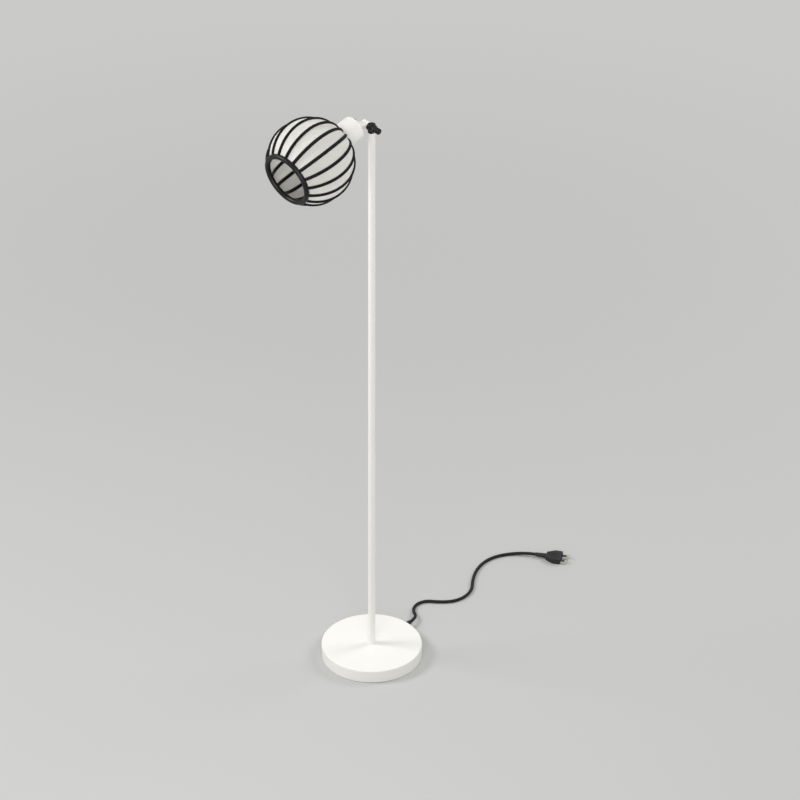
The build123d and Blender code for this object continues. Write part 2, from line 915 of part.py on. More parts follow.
def make_bulb_cap():
    return head_place * rod(bulb_cap_diameter, bulb_cap_level, bulb_body_level)


def make_bulb_body():
    profile = Plane.XZ * make_face(
        [
            Line((0, bulb_body_level), (bulb_neck_diameter / 2, bulb_body_level)),
            Spline(
                (bulb_neck_diameter / 2, bulb_body_level),
                (globe_mouth, bulb_globe_level),
                tangents=[(0, 1), (bulb_globe_overlap, globe_mouth)],
            ),
            Line((globe_mouth, bulb_globe_level), (0, bulb_globe_level)),
            Line((0, bulb_globe_level), (0, bulb_body_level)),
        ]
    )
    return head_place * revolve(profile, Axis.Z)


def make_bulb_globe():
    inside = bulb_radius - bulb_wall
    shell = Pos(0, 0, bulb_centre) * (Sphere(bulb_radius) - Sphere(inside))
    return head_place * (shell - rod(3 * bulb_radius, bulb_globe_level - bulb_radius, bulb_globe_level))


def make_led_board():
    inside = sqrt((bulb_radius - bulb_wall) ** 2 - bulb_globe_overlap ** 2) - led_board_clearance
    return head_place * rod(2 * inside, bulb_globe_level, bulb_globe_level + led_board_thickness)


# Shade: flat struts welded to a neck plate and a mouth ring, a fabric skin over them, piping on the seams
def latitude(distance, sphere):
    """Angle up from a sphere's equator to the circle that lies this far from the head's axis."""
    return 90 - degrees(asin(distance / sphere))


mouth_latitude = latitude(mouth_ring_radius, skin_middle)
mouth_edge = degrees((mouth_ring_section / 2 + mouth_gap) / skin_middle)


def rib_places():
    return [Rot(0, 0, rib_phase + index * 360 / rib_count) for index in range(rib_count)]


def mouth_ring():
    return Pos(0, 0, mouth_level) * Torus(mouth_ring_radius, mouth_ring_section / 2)


def make_mouth_ring():
    return head_place * mouth_ring()


def make_neck_plate():
    hole = holder_skirt_diameter + 2 * neck_hole_clearance
    return head_place * ring(2 * neck_plate_radius, hole, cup_front, neck_front)


def make_shade_skin():
    low = -latitude(skin_neck, skin_middle)
    high = mouth_latitude - mouth_edge
    profile = Plane.XZ * Pos(0, ball_level) * sector(skin_inner, skin_radius, low, high)
    return head_place * revolve(profile, Axis.Z)


def make_shade_struts():
    low = -latitude(shade_ring_diameter / 2 + strut_ring_clearance, strut_outer)
    profile = Plane.XZ * Pos(0, ball_level) * sector(strut_inner, strut_outer, low, mouth_latitude)
    strip = extrude(profile, strut_width / 2, both=True) - mouth_ring()
    strip -= rod(cup_diameter, cup_front - strut_thickness, neck_front)
    return head_place * Compound([place * strip for place in rib_places()])


def piping_section():
    """A flat tape with a round bead along its middle, with X out from the ball's centre."""
    tape_top = piping_inner + piping_tape_thickness
    tape_edge = piping_width / 2
    bead_edge = piping_bead_width / 2
    tape = Polyline(
        (tape_top, bead_edge),
        (tape_top, tape_edge),
        (piping_inner, tape_edge),
        (piping_inner, -tape_edge),
        (tape_top, -tape_edge),
        (tape_top, -bead_edge),
    )
    return make_face([*tape.edges(), ThreePointArc(tape @ 1, (piping_outer, 0), tape @ 0)])


def make_shade_piping():
    low = -latitude(neck_plate_radius + piping_end_outset, piping_outer)
    centre = Pos(0, 0, ball_level)
    across = Axis(centre.position, (0, -1, 0))
    strip = revolve(centre * Rot(0, -low, 0) * piping_section(), across, mouth_latitude - low) - mouth_ring()
    return head_place * Compound([place * strip for place in rib_places()])


def make_shade_ring():
    collar = ring(shade_ring_diameter, shade_ring_hole, neck_front, neck_front + shade_ring_height)
    notch = Pos(shade_ring_diameter / 2, 0, neck_front + shade_ring_height) * Box(
        shade_ring_notch / 2, shade_ring_notch, shade_ring_height
    )
    for index in range(shade_ring_notches):
        collar -= Rot(0, 0, index * 360 / shade_ring_notches) * notch
    return head_place * collar


# Push switch
def switch_place():
    return head_place * Pos(0, switch_offset, 0)


def make_switch_body():
    neck = switch_neck_diameter / 2
    bore = button_diameter / 2 + button_clearance
    floor = button_start + button_length + button_travel + button_floor_gap
    profile = [
        (bore, cup_setback - switch_neck_length),
        (neck, cup_setback - switch_neck_length),
        (neck, cup_inside),
        (switch_diameter / 2, cup_inside),
        (switch_diameter / 2, cup_inside + switch_depth),
        (0, cup_inside + switch_depth),
        (0, floor),
        (bore, floor),
    ]
    return switch_place() * turned(profile)


def make_switch_nut():
    return switch_place() * ring(
        switch_nut_diameter, switch_neck_diameter, cup_setback - switch_nut_height, cup_setback
    )


def make_switch_button():
    edge = (button_diameter / 2, button_start)
    end = button_start + button_length
    profile = [(0, button_start), edge, (button_diameter / 2, end), (0, end)]
    return switch_place() * turned(profile, [(edge, button_diameter / 8)])


nodes = {
    "base_cover": base_turn * make_base_cover(),
    "base_ballast": base_turn * make_base_ballast(),
    "base_plate": base_turn * make_base_plate(),
    "base_plate_screws": base_turn * Compound(around_screws(plate_screw())),
    "base_pad": make_base_pad(),
    "pole_stud": make_pole_stud(),
    "stud_washer": make_stud_washer(),
    "stud_nut": make_stud_nut(),
    "pole_insert": make_pole_insert(),
    "pole_tube": make_pole_tube(),
    "cord_bushing": base_turn * make_cord_bushing(),
    "bushing_nut": base_turn * make_bushing_nut(),
    "cord_clamp_base": base_turn * make_clamp_base(),
    "cord_clamp_saddle": base_turn * make_clamp_saddle(),
    "cord_clamp_screws": base_turn * make_clamp_screws(),
    "terminal_block": base_turn * make_terminal_block(),
    "terminal_screws": base_turn * make_terminal_screws(),
    "cord_tail": base_turn * make_cord_tail(),
    "pole_lead": make_pole_lead(),
    "mains_cord": make_mains_cord(),
    "plug_relief": make_plug_relief(),
    "plug_body": make_plug_body(),
    "plug_pins": make_plug_pins(),
    "plug_pin_sleeves": make_plug_sleeves(),
    "pivot_hub": pivot_place * make_pivot_hub(),
    "hub_set_screw": pivot_place * set_screw(),
    "tilt_stop_pin": pivot_place * stop_pin(),
    "friction_washer": pivot_place * make_friction_washer(),
    "thrust_washer": pivot_place * make_thrust_washer(),
    "spring_washer": pivot_place * make_spring_washer(),
    "tilt_spindle": pivot_place * make_spindle(),
    "clamp_knob": pivot_place * make_clamp_knob(),
    "tilt_arm": pivot_place * make_tilt_arm(),
    "arm_end_cap": pivot_place * make_arm_end_cap(),
    "head_nipple": pivot_place * make_head_nipple(),
    "head_lock_washer": pivot_place * make_head_lock_washer(),
    "head_nut": pivot_place * make_head_nut(),
    "head_lead": pivot_place * make_head_lead(),
    "lampholder_cup": pivot_place * make_lampholder_cup(),
    "lampholder_cap": pivot_place * make_lampholder_cap(),
    "lampholder_body": pivot_place * make_lampholder_body(),
    "contact_block": pivot_place * make_contact_block(),
    "screw_shell": pivot_place * make_screw_shell(),
    "centre_contact": pivot_place * make_centre_contact(),
    "bulb_tip": pivot_place * make_bulb_tip(),
    "bulb_insulator": pivot_place * make_bulb_insulator(),
    "bulb_cap": pivot_place * make_bulb_cap(),
    "bulb_body": pivot_place * make_bulb_body(),
    "bulb_globe": pivot_place * make_bulb_globe(),
    "led_board": pivot_place * make_led_board(),
    "neck_plate": pivot_place * make_neck_plate(),
    "mouth_ring": pivot_place * make_mouth_ring(),
    "shade_struts": pivot_place * make_shade_struts(),
    "shade_skin": pivot_place * make_shade_skin(),
    "shade_piping": pivot_place * make_shade_piping(),
    "shade_ring": pivot_place * make_shade_ring(),
    "switch_body": pivot_place * make_switch_body(),
    "switch_nut": pivot_place * make_switch_nut(),
    "switch_button": pivot_place * make_switch_button(),
}

os.makedirs("parts", exist_ok=True)
for name, shape in nodes.items():
    export_step(shape, os.path.join("parts", name + ".step"))
print(len(nodes), "nodes written")
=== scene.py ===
import json
import math

import bpy
import numpy as np
from mathutils import Matrix, Vector


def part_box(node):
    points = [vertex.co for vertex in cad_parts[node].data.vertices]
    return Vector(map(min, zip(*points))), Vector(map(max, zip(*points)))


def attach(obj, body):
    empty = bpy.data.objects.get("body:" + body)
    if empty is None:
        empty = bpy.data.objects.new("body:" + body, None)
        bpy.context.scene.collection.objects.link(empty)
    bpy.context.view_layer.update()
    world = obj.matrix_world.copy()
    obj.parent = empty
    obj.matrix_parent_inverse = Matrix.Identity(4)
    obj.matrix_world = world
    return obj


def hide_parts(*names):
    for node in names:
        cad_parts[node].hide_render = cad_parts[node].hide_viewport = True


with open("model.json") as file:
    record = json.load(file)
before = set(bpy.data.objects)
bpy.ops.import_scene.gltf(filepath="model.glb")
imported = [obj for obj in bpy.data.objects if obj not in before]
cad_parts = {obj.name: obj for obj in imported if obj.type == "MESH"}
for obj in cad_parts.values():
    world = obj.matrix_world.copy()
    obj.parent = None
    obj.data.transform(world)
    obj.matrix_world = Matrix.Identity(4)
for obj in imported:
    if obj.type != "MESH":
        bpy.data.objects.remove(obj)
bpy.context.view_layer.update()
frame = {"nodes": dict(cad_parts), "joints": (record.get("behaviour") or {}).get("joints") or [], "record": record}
print("frame loaded,", len(frame["nodes"]), "nodes")

mm = 0.001
squareOn = 0.9         # a face is square to an axis where its normal has more than this along it
nearby = 0.1 * mm      # a face or a point lies in a plane where it is closer to it than this


# small helpers

def hexColour(code):
    # sRGB hex to the linear values that a shader takes
    parts = [int(code[i:i + 2], 16) / 255 for i in (1, 3, 5)]
    return [p / 12.92 if p <= 0.04045 else ((p + 0.055) / 1.055) ** 2.4 for p in parts] + [1.0]


def perSize(sizeMm):
    # texture scale that makes one feature this many millimetres wide
    return 1 / (sizeMm * mm)


def waveScale(spacingMm):
    # a band texture repeats every 0.314 units at scale 1
    return math.pi / 10 / (spacingMm * mm)


def addNode(tree, kind, inputs, **settings):
    # a colour mix has its share in input 0, its two colours in 6 and 7, and its result in output 2
    node = tree.nodes.new(kind)
    for name, value in settings.items():
        setattr(node, name, value)
    for key, value in inputs.items():
        if isinstance(value, bpy.types.NodeSocket):
            tree.links.new(value, node.inputs[key])
        else:
            node.inputs[key].default_value = value
    return node


def newMaterial(name, **sockets):
    # sockets are the values that are the same all over the surface
    material = bpy.data.materials.new(name)
    material.use_nodes = True
    tree = material.node_tree
    shader = tree.nodes["Principled BSDF"]
    for key, value in sockets.items():
        shader.inputs[key.replace("_", " ")].default_value = value
    return material, tree, shader


def deselectAll():
    if bpy.context.object and bpy.context.object.mode != "OBJECT":
        bpy.ops.object.mode_set(mode="OBJECT")
    bpy.ops.object.select_all(action="DESELECT")


def pick(piece, kind, test):
    # leaves the piece in edit mode with only the wanted vertices, edges or polygons selected
    bpy.ops.object.mode_set(mode="OBJECT")
    for layer in (piece.data.vertices, piece.data.edges, piece.data.polygons):
        layer.foreach_set("select", [False] * len(layer))
    for item in getattr(piece.data, kind):
        item.select = test(item)
    modes = {"vertices": "VERT", "edges": "EDGE", "polygons": "FACE"}
    bpy.context.tool_settings.mesh_select_mode = [kind == name for name in modes]
    bpy.ops.object.mode_set(mode="EDIT")


def applyModifier(piece, kind, **settings):
    if piece.mode != "OBJECT":
        bpy.ops.object.mode_set(mode="OBJECT")
    bpy.context.view_layer.objects.active = piece
    modifier = piece.modifiers.new(kind.title(), kind)
    for name, value in settings.items():
        setattr(modifier, name, value)
    bpy.ops.object.modifier_apply(modifier=modifier.name)


def roundEdges(piece, shape):
    applyModifier(piece, "BEVEL", width=shape["edge"], segments=shape["edgeSteps"], limit_method="ANGLE",
                  angle_limit=math.radians(shape["edgeAngle"]))


def smoothFaces(degrees):
    bpy.ops.object.shade_smooth_by_angle(angle=math.radians(degrees))


def joinedCopies(piece, places):
    # one copy of the piece at each place, joined to a single piece
    copies = []
    for place in places:
        copy = bpy.data.objects.new(piece.name, piece.data.copy())
        bpy.context.scene.collection.objects.link(copy)
        copy.data.transform(place)
        copies.append(copy)
    bpy.data.objects.remove(piece)
    deselectAll()
    for copy in copies:
        copy.select_set(True)
    bpy.context.view_layer.objects.active = copies[0]
    bpy.ops.object.join()
    return copies[0]


def settle(piece, name, body, slotName, material, *nodes):
    # a finished piece: named, painted, and riding on its body in place of the CAD nodes
    deselectAll()
    piece.name = name
    piece.data.name = name
    piece.data.materials.clear()
    piece.data.materials.append(material)
    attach(piece, body)
    if nodes:
        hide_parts(*nodes)
    print("made", name)
    return piece


# camera: a parallel view from the front right, 45 degrees round and at the isometric height

camera = {
    "azimuth": 45.0,
    "elevation": 35.264,
    "width": 1.7504,       # metres across the picture
    "across": 0.0618,      # picture's centre from the middle of the base's top
    "rise": 0.5309,
    "distance": 4.0,
    "farClip": 50.0,
}


def makeCamera():
    around = math.radians(camera["azimuth"])
    above = math.radians(camera["elevation"])
    right = Vector((math.cos(around), math.sin(around), 0))
    back = Vector((math.sin(around) * math.cos(above), -math.cos(around) * math.cos(above),
                   math.sin(above)))
    up = back.cross(right)
    centre = Vector((0, 0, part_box("base_cover")[1].z)) + right * camera["across"] + up * camera["rise"]
    data = bpy.data.cameras.new("camera")
    data.type = "ORTHO"
    data.ortho_scale = camera["width"]
    data.clip_end = camera["farClip"]
    eye = bpy.data.objects.new("camera", data)
    bpy.context.scene.collection.objects.link(eye)
    eye.location = centre + back * camera["distance"]
    eye.rotation_euler = (-back).to_track_quat("-Z", "Y").to_euler()
    bpy.context.scene.camera = eye


makeCamera()
print("camera set")


# floor, lamps and surroundings

studio = {
    "floorSize": 60.0,
    "floorColour": "#BFBFBE",
    "floorRoughness": 0.9,
    "fadeFrom": 0.9,              # metres from the lamp where the floor begins to fade into the background
    "fadeTo": 2.6,
    "background": "#CACAC9",
    "skyColour": "#F2F2F0",
    "skyStrength": 0.55,
    "lamps": [
        {"name": "keyLamp", "place": (-2.3, -2.0, 3.1), "size": 1.6, "watts": 78, "aim": (-0.05, -0.1, 0.9)},
        {"name": "fillLamp", "place": (1.6, -1.9, 2.1), "size": 2.0, "watts": 36, "aim": (0, -0.1, 1.1)},
        {"name": "rimLamp", "place": (1.0, 2.7, 2.6), "size": 1.8, "watts": 44, "aim": (0, 0, 1.0)},
    ],
}


def seenRays(tree):
    # 1 for what the camera sees, straight or in metal and glass, and 0 for what lights the lamp
    rays = addNode(tree, "ShaderNodeLightPath", {}).outputs
    mirrored = addNode(tree, "ShaderNodeMath", {0: rays["Is Camera Ray"], 1: rays["Is Glossy Ray"]},
                       operation="MAXIMUM")
    through = addNode(tree, "ShaderNodeMath", {0: mirrored.outputs[0], 1: rays["Is Transmission Ray"]},
                      operation="MAXIMUM")
    return through.outputs[0]


def makeStudio():
    deselectAll()
    bpy.ops.mesh.primitive_plane_add(size=studio["floorSize"])
    floor = bpy.context.object
    floor.name = "floor"
    material, tree, shader = newMaterial("paperFloor", Base_Color=hexColour(studio["floorColour"]),
                                         Roughness=studio["floorRoughness"])
    glow = addNode(tree, "ShaderNodeEmission", {"Color": hexColour(studio["background"])})
    place = addNode(tree, "ShaderNodeTexCoord", {}).outputs["Object"]
    away = addNode(tree, "ShaderNodeVectorMath", {0: place}, operation="LENGTH")
    fade = addNode(tree, "ShaderNodeMapRange",
                   {"Value": away.outputs["Value"], "From Min": studio["fadeFrom"],
                    "From Max": studio["fadeTo"]}, interpolation_type="SMOOTHSTEP")
    share = addNode(tree, "ShaderNodeMath", {0: fade.outputs["Result"], 1: seenRays(tree)},
                    operation="MULTIPLY")
    blend = addNode(tree, "ShaderNodeMixShader",
                    {0: share.outputs[0], 1: shader.outputs[0], 2: glow.outputs[0]})
    tree.links.new(blend.outputs[0], tree.nodes["Material Output"].inputs["Surface"])
    floor.data.materials.append(material)

    world = bpy.data.worlds.new("studio")
    bpy.context.scene.world = world
    world.use_nodes = True
    tree = world.node_tree
    daylight = tree.nodes["Background"]
    daylight.inputs["Color"].default_value = hexColour(studio["skyColour"])
    daylight.inputs["Strength"].default_value = studio["skyStrength"]
    wall = addNode(tree, "ShaderNodeBackground", {"Color": hexColour(studio["background"])})
    sky = addNode(tree, "ShaderNodeMixShader",
                  {0: seenRays(tree), 1: daylight.outputs[0], 2: wall.outputs[0]})
    tree.links.new(sky.outputs[0], tree.nodes["World Output"].inputs["Surface"])

    for lamp in studio["lamps"]:
        data = bpy.data.lights.new(lamp["name"], "AREA")
        data.shape = "DISK"
        data.size = lamp["size"]
        data.energy = lamp["watts"]
        light = bpy.data.objects.new(lamp["name"], data)
        bpy.context.scene.collection.objects.link(light)
        light.location = lamp["place"]
        ahead = Vector(lamp["aim"]) - Vector(lamp["place"])
        light.rotation_euler = ahead.to_track_quat("-Z", "Y").to_euler()
    bpy.context.scene.view_settings.view_transform = "Standard"


makeStudio()
print("studio set")


# materials: the looks' sizes are in millimetres

noiseSpan = {"From Min": 0.3, "From Max": 0.7}     # where most of a noise texture's values lie

coatLook = {
    "cloud": 70,               # slow change of tone over the surface
    "glossSpread": 0.05,
}


def powderCoat(name, light, dark, roughness, peel, peelDepth, specular):
    # polyester powder, baked on steel: a soft sheen broken by a fine orange peel
    material, tree, shader = newMaterial(name, IOR=1.5, Specular_IOR_Level=specular)
    place = addNode(tree, "ShaderNodeTexCoord", {}).outputs["Object"]
    cloud = addNode(tree, "ShaderNodeTexNoise",
                    {"Vector": place, "Scale": perSize(coatLook["cloud"]), "Detail": 3.0})
    tint = addNode(tree, "ShaderNodeMix", {0: cloud.outputs["Fac"], 6: hexColour(light), 7: hexColour(dark)},
                   data_type="RGBA")
    tree.links.new(tint.outputs[2], shader.inputs["Base Color"])
    gloss = addNode(tree, "ShaderNodeMapRange",
                    {"Value": cloud.outputs["Fac"], **noiseSpan,
                     "To Min": roughness - coatLook["glossSpread"],
                     "To Max": roughness + coatLook["glossSpread"]})
    tree.links.new(gloss.outputs["Result"], shader.inputs["Roughness"])
    waves = addNode(tree, "ShaderNodeTexNoise", {"Vector": place, "Scale": perSize(peel), "Detail": 1.5})
    bump = addNode(tree, "ShaderNodeBump",
                   {"Height": waves.outputs["Fac"], "Strength": 0.5, "Distance": peelDepth * mm})
    tree.links.new(bump.outputs["Normal"], shader.inputs["Normal"])
    return material


mouldLook = {
    "flow": 14,                # streaks of the melt
    "glossSpread": 0.06,
    "grainDepth": 0.05,
}


def mouldedPiece(name, light, dark, roughness, grain, ior):
    # moulded or pressed: an even colour, with the fine spark-eroded grain of the mould
    material, tree, shader = newMaterial(name, IOR=ior)
    place = addNode(tree, "ShaderNodeTexCoord", {}).outputs["Object"]
    pits = addNode(tree, "ShaderNodeTexNoise", {"Vector": place, "Scale": perSize(grain), "Detail": 2.0})
    flow = addNode(tree, "ShaderNodeTexNoise",
                   {"Vector": place, "Scale": perSize(mouldLook["flow"]), "Detail": 2.0})
    tint = addNode(tree, "ShaderNodeMix", {0: flow.outputs["Fac"], 6: hexColour(light), 7: hexColour(dark)},
                   data_type="RGBA")
    tree.links.new(tint.outputs[2], shader.inputs["Base Color"])
    gloss = addNode(tree, "ShaderNodeMapRange",
                    {"Value": pits.outputs["Fac"], **noiseSpan,
                     "To Min": roughness - mouldLook["glossSpread"],
                     "To Max": roughness + mouldLook["glossSpread"]})
    tree.links.new(gloss.outputs["Result"], shader.inputs["Roughness"])
    bump = addNode(tree, "ShaderNodeBump",
                   {"Height": pits.outputs["Fac"], "Strength": 0.35,
                    "Distance": mouldLook["grainDepth"] * mm})
    tree.links.new(bump.outputs["Normal"], shader.inputs["Normal"])
    return material


plateLook = {
    "cloud": 6,                # clouding from the bath
    "glossSpread": 0.06,
}


def platedMetal(name, light, dark, roughness):
    # plated: a bright metal, faintly clouded in tone and in gloss
    material, tree, shader = newMaterial(name, Metallic=1.0)
    place = addNode(tree, "ShaderNodeTexCoord", {}).outputs["Object"]
    cloud = addNode(tree, "ShaderNodeTexNoise",
                    {"Vector": place, "Scale": perSize(plateLook["cloud"]), "Detail": 4.0})
    tint = addNode(tree, "ShaderNodeMix", {0: cloud.outputs["Fac"], 6: hexColour(light), 7: hexColour(dark)},
                   data_type="RGBA")
    tree.links.new(tint.outputs[2], shader.inputs["Base Color"])
    gloss = addNode(tree, "ShaderNodeMapRange",
                    {"Value": cloud.outputs["Fac"], **noiseSpan,
                     "To Min": roughness - plateLook["glossSpread"],
                     "To Max": roughness + plateLook["glossSpread"]})
    tree.links.new(gloss.outputs["Result"], shader.inputs["Roughness"])
    return material


ironLook = {
    "dark": "#3A3B3D",
    "light": "#6A6B6E",
    "sand": 1.5,
    "sandDepth": 0.3,
}


def castIron():
    # sand cast: dark grey with the grain of the sand
    material, tree, shader = newMaterial("castIron", Roughness=0.75, Metallic=0.6)
    place = addNode(tree, "ShaderNodeTexCoord", {}).outputs["Object"]
    sand = addNode(tree, "ShaderNodeTexNoise",
                   {"Vector": place, "Scale": perSize(ironLook["sand"]), "Detail": 4.0})
    tint = addNode(tree, "ShaderNodeMix", {0: sand.outputs["Fac"], 6: hexColour(ironLook["dark"]),
                                           7: hexColour(ironLook["light"])}, data_type="RGBA")
    tree.links.new(tint.outputs[2], shader.inputs["Base Color"])
    bump = addNode(tree, "ShaderNodeBump",
                   {"Height": sand.outputs["Fac"], "Strength": 0.6, "Distance": ironLook["sandDepth"] * mm})
    tree.links.new(bump.outputs["Normal"], shader.inputs["Normal"])
    return material


foamLook = {
    "dark": "#121213",
    "light": "#2B2B2D",
    "cell": 1.2,
    "cellDepth": 0.2,
}


def evaFoam():
    # closed cell EVA: dull black, pricked all over by cut cells
    material, tree, shader = newMaterial("evaFoam", Roughness=0.95)
    place = addNode(tree, "ShaderNodeTexCoord", {}).outputs["Object"]
    cells = addNode(tree, "ShaderNodeTexVoronoi", {"Vector": place, "Scale": perSize(foamLook["cell"])})
    tint = addNode(tree, "ShaderNodeMix", {0: cells.outputs["Distance"], 6: hexColour(foamLook["dark"]),
                                           7: hexColour(foamLook["light"])}, data_type="RGBA")
    tree.links.new(tint.outputs[2], shader.inputs["Base Color"])
    bump = addNode(tree, "ShaderNodeBump",
                   {"Height": cells.outputs["Distance"], "Strength": 0.6,
                    "Distance": foamLook["cellDepth"] * mm})
    tree.links.new(bump.outputs["Normal"], shader.inputs["Normal"])
    return material


cottonLook = {
    "light": "#F4F1EA",
    "dark": "#E6E2D8",
    "thread": 1.3,             # 0.5 mm on the real cloth, drawn wider to show
    "slub": 2.5,               # thicker stretches of a thread
    "slubSquash": 0.06,        # a slub's width over its length
    "paintedGapShade": 0.88,           # painted shade: tone of the gaps between threads
    "paintedShadeUpTo": 0.6,            # weave's height where a gap's painted shade ends
    "threadDepth": 0.12,
}


def wovenCotton():
    # plain woven cotton: matt, with crossing threads, thicker slubs and painted shade in the gaps between threads
    material, tree, shader = newMaterial("wovenCotton", Roughness=0.88, Specular_IOR_Level=0.2,
                                         Sheen_Weight=0.2, Sheen_Roughness=0.5,
                                         Subsurface_Weight=0.9, Subsurface_Scale=0.004,
                                         Subsurface_Radius=(1, 1, 1))
    threads = addNode(tree, "ShaderNodeUVMap", {}, uv_map="threads").outputs["UV"]
    spacing = {"Vector": threads, "Scale": waveScale(cottonLook["thread"]), "Distortion": 0.4, "Detail": 1.0,
               "Detail Scale": 0.3}
    warp = addNode(tree, "ShaderNodeTexWave", spacing, bands_direction="X")
    weft = addNode(tree, "ShaderNodeTexWave", spacing, bands_direction="Y")
    weave = addNode(tree, "ShaderNodeMath", {0: warp.outputs["Fac"], 1: weft.outputs["Fac"]},
                    operation="MULTIPLY")
    stretched = addNode(tree, "ShaderNodeMapping",
                        {"Vector": threads, "Scale": (1.0, cottonLook["slubSquash"], 1.0)})
    slubs = addNode(tree, "ShaderNodeTexNoise",
                    {"Vector": stretched.outputs["Vector"], "Scale": perSize(cottonLook["slub"]),
                     "Detail": 2.0})
    cloth = addNode(tree, "ShaderNodeMix", {0: slubs.outputs["Fac"], 6: hexColour(cottonLook["light"]),
                                            7: hexColour(cottonLook["dark"])}, data_type="RGBA")
    # painted shade: the base colour is darkened where the weave is low, in the gaps between the threads
    paintedGapShadeMask = addNode(tree, "ShaderNodeMapRange",
                   {"Value": weave.outputs[0], "From Max": cottonLook["paintedShadeUpTo"],
                    "To Min": cottonLook["paintedGapShade"], "To Max": 1.0})
    shaded = addNode(tree, "ShaderNodeMix", {0: 1.0, 6: cloth.outputs[2], 7: paintedGapShadeMask.outputs["Result"]},
                     data_type="RGBA", blend_type="MULTIPLY")
    tree.links.new(shaded.outputs[2], shader.inputs["Base Color"])
    bump = addNode(tree, "ShaderNodeBump",
                   {"Height": weave.outputs[0], "Strength": 0.35,
                    "Distance": cottonLook["threadDepth"] * mm})
    tree.links.new(bump.outputs["Normal"], shader.inputs["Normal"])
    return material


tapeLook = {
    "dark": "#08080A",
    "light": "#19191B",
    "rib": 1.1,                # 0.7 mm on the real tape, drawn wider to show
    "ribSlant": 35,            # degrees
    "ribDepth": 0.1,
}


def twillTape():
    # black cotton twill tape: matt, with steep diagonal ribs
    material, tree, shader = newMaterial("twillTape", Roughness=0.8, Sheen_Weight=0.03, Sheen_Roughness=0.5,
                                         Specular_IOR_Level=0.18)
    tape = addNode(tree, "ShaderNodeUVMap", {}, uv_map="tape").outputs["UV"]
    slant = addNode(tree, "ShaderNodeMapping",
                    {"Vector": tape, "Rotation": (0, 0, math.radians(tapeLook["ribSlant"]))})
    ribs = addNode(tree, "ShaderNodeTexWave", {"Vector": slant.outputs["Vector"], "Distortion": 0.3,
                                               "Scale": waveScale(tapeLook["rib"])}, bands_direction="Y")
    tint = addNode(tree, "ShaderNodeMix", {0: ribs.outputs["Fac"], 6: hexColour(tapeLook["dark"]),
                                           7: hexColour(tapeLook["light"])}, data_type="RGBA")
    tree.links.new(tint.outputs[2], shader.inputs["Base Color"])
    bump = addNode(tree, "ShaderNodeBump",
                   {"Height": ribs.outputs["Fac"], "Strength": 0.5, "Distance": tapeLook["ribDepth"] * mm})
    tree.links.new(bump.outputs["Normal"], shader.inputs["Normal"])
    return material


threadLook = {
    "dark": "#202022",
    "light": "#3A3A3E",
    "twist": 0.4,
}


def sewingThread():
    # spun polyester thread: a soft gleam, lighter than the tape it is sewn through
    material, tree, shader = newMaterial("sewingThread", Roughness=0.6, Sheen_Weight=0.1,
                                         Specular_IOR_Level=0.35)
    place = addNode(tree, "ShaderNodeTexCoord", {}).outputs["Object"]
    twist = addNode(tree, "ShaderNodeTexNoise",
                    {"Vector": place, "Scale": perSize(threadLook["twist"]), "Detail": 1.0})
    tint = addNode(tree, "ShaderNodeMix", {0: twist.outputs["Fac"], 6: hexColour(threadLook["dark"]),
                                           7: hexColour(threadLook["light"])}, data_type="RGBA")
    tree.links.new(tint.outputs[2], shader.inputs["Base Color"])
    return material


braidLook = {
    "dark": "#08080A",
    "light": "#1E1E21",
    "yarn": 0.8,
    "yarnDepth": 0.08,
}


def braidedTextile():
    # black rayon braid over the cord: matt with a dull gleam along each yarn
    material, tree, shader = newMaterial("braidedTextile", Roughness=0.65, Sheen_Weight=0.05,
                                         Sheen_Roughness=0.4, Specular_IOR_Level=0.3)
    braid = addNode(tree, "ShaderNodeUVMap", {}, uv_map="braid").outputs["UV"]
    yarns = addNode(tree, "ShaderNodeTexNoise",
                    {"Vector": braid, "Scale": perSize(braidLook["yarn"]), "Detail": 2.0})
    tint = addNode(tree, "ShaderNodeMix", {0: yarns.outputs["Fac"], 6: hexColour(braidLook["dark"]),
                                           7: hexColour(braidLook["light"])}, data_type="RGBA")
    tree.links.new(tint.outputs[2], shader.inputs["Base Color"])
    bump = addNode(tree, "ShaderNodeBump",
                   {"Height": yarns.outputs["Fac"], "Strength": 0.4,
                    "Distance": braidLook["yarnDepth"] * mm})
    tree.links.new(bump.outputs["Normal"], shader.inputs["Normal"])
    return material


opalLook = {
    "light": "#F6F3EB",
    "dark": "#ECE8DE",
    "haze": 25,
    "glossFrom": 0.28,
    "glossTo": 0.4,
}


def opalPlastic():
    # opal polycarbonate, blown: milky white all through, with a satin surface and a faint haze
    material, tree, shader = newMaterial("opalPlastic", IOR=1.58)
    place = addNode(tree, "ShaderNodeTexCoord", {}).outputs["Object"]
    haze = addNode(tree, "ShaderNodeTexNoise",
                   {"Vector": place, "Scale": perSize(opalLook["haze"]), "Detail": 2.0})
    tint = addNode(tree, "ShaderNodeMix", {0: haze.outputs["Fac"], 6: hexColour(opalLook["light"]),
                                           7: hexColour(opalLook["dark"])}, data_type="RGBA")
    tree.links.new(tint.outputs[2], shader.inputs["Base Color"])
    gloss = addNode(tree, "ShaderNodeMapRange",
                    {"Value": haze.outputs["Fac"], "To Min": opalLook["glossFrom"],
                     "To Max": opalLook["glossTo"]})
    tree.links.new(gloss.outputs["Result"], shader.inputs["Roughness"])
    return material


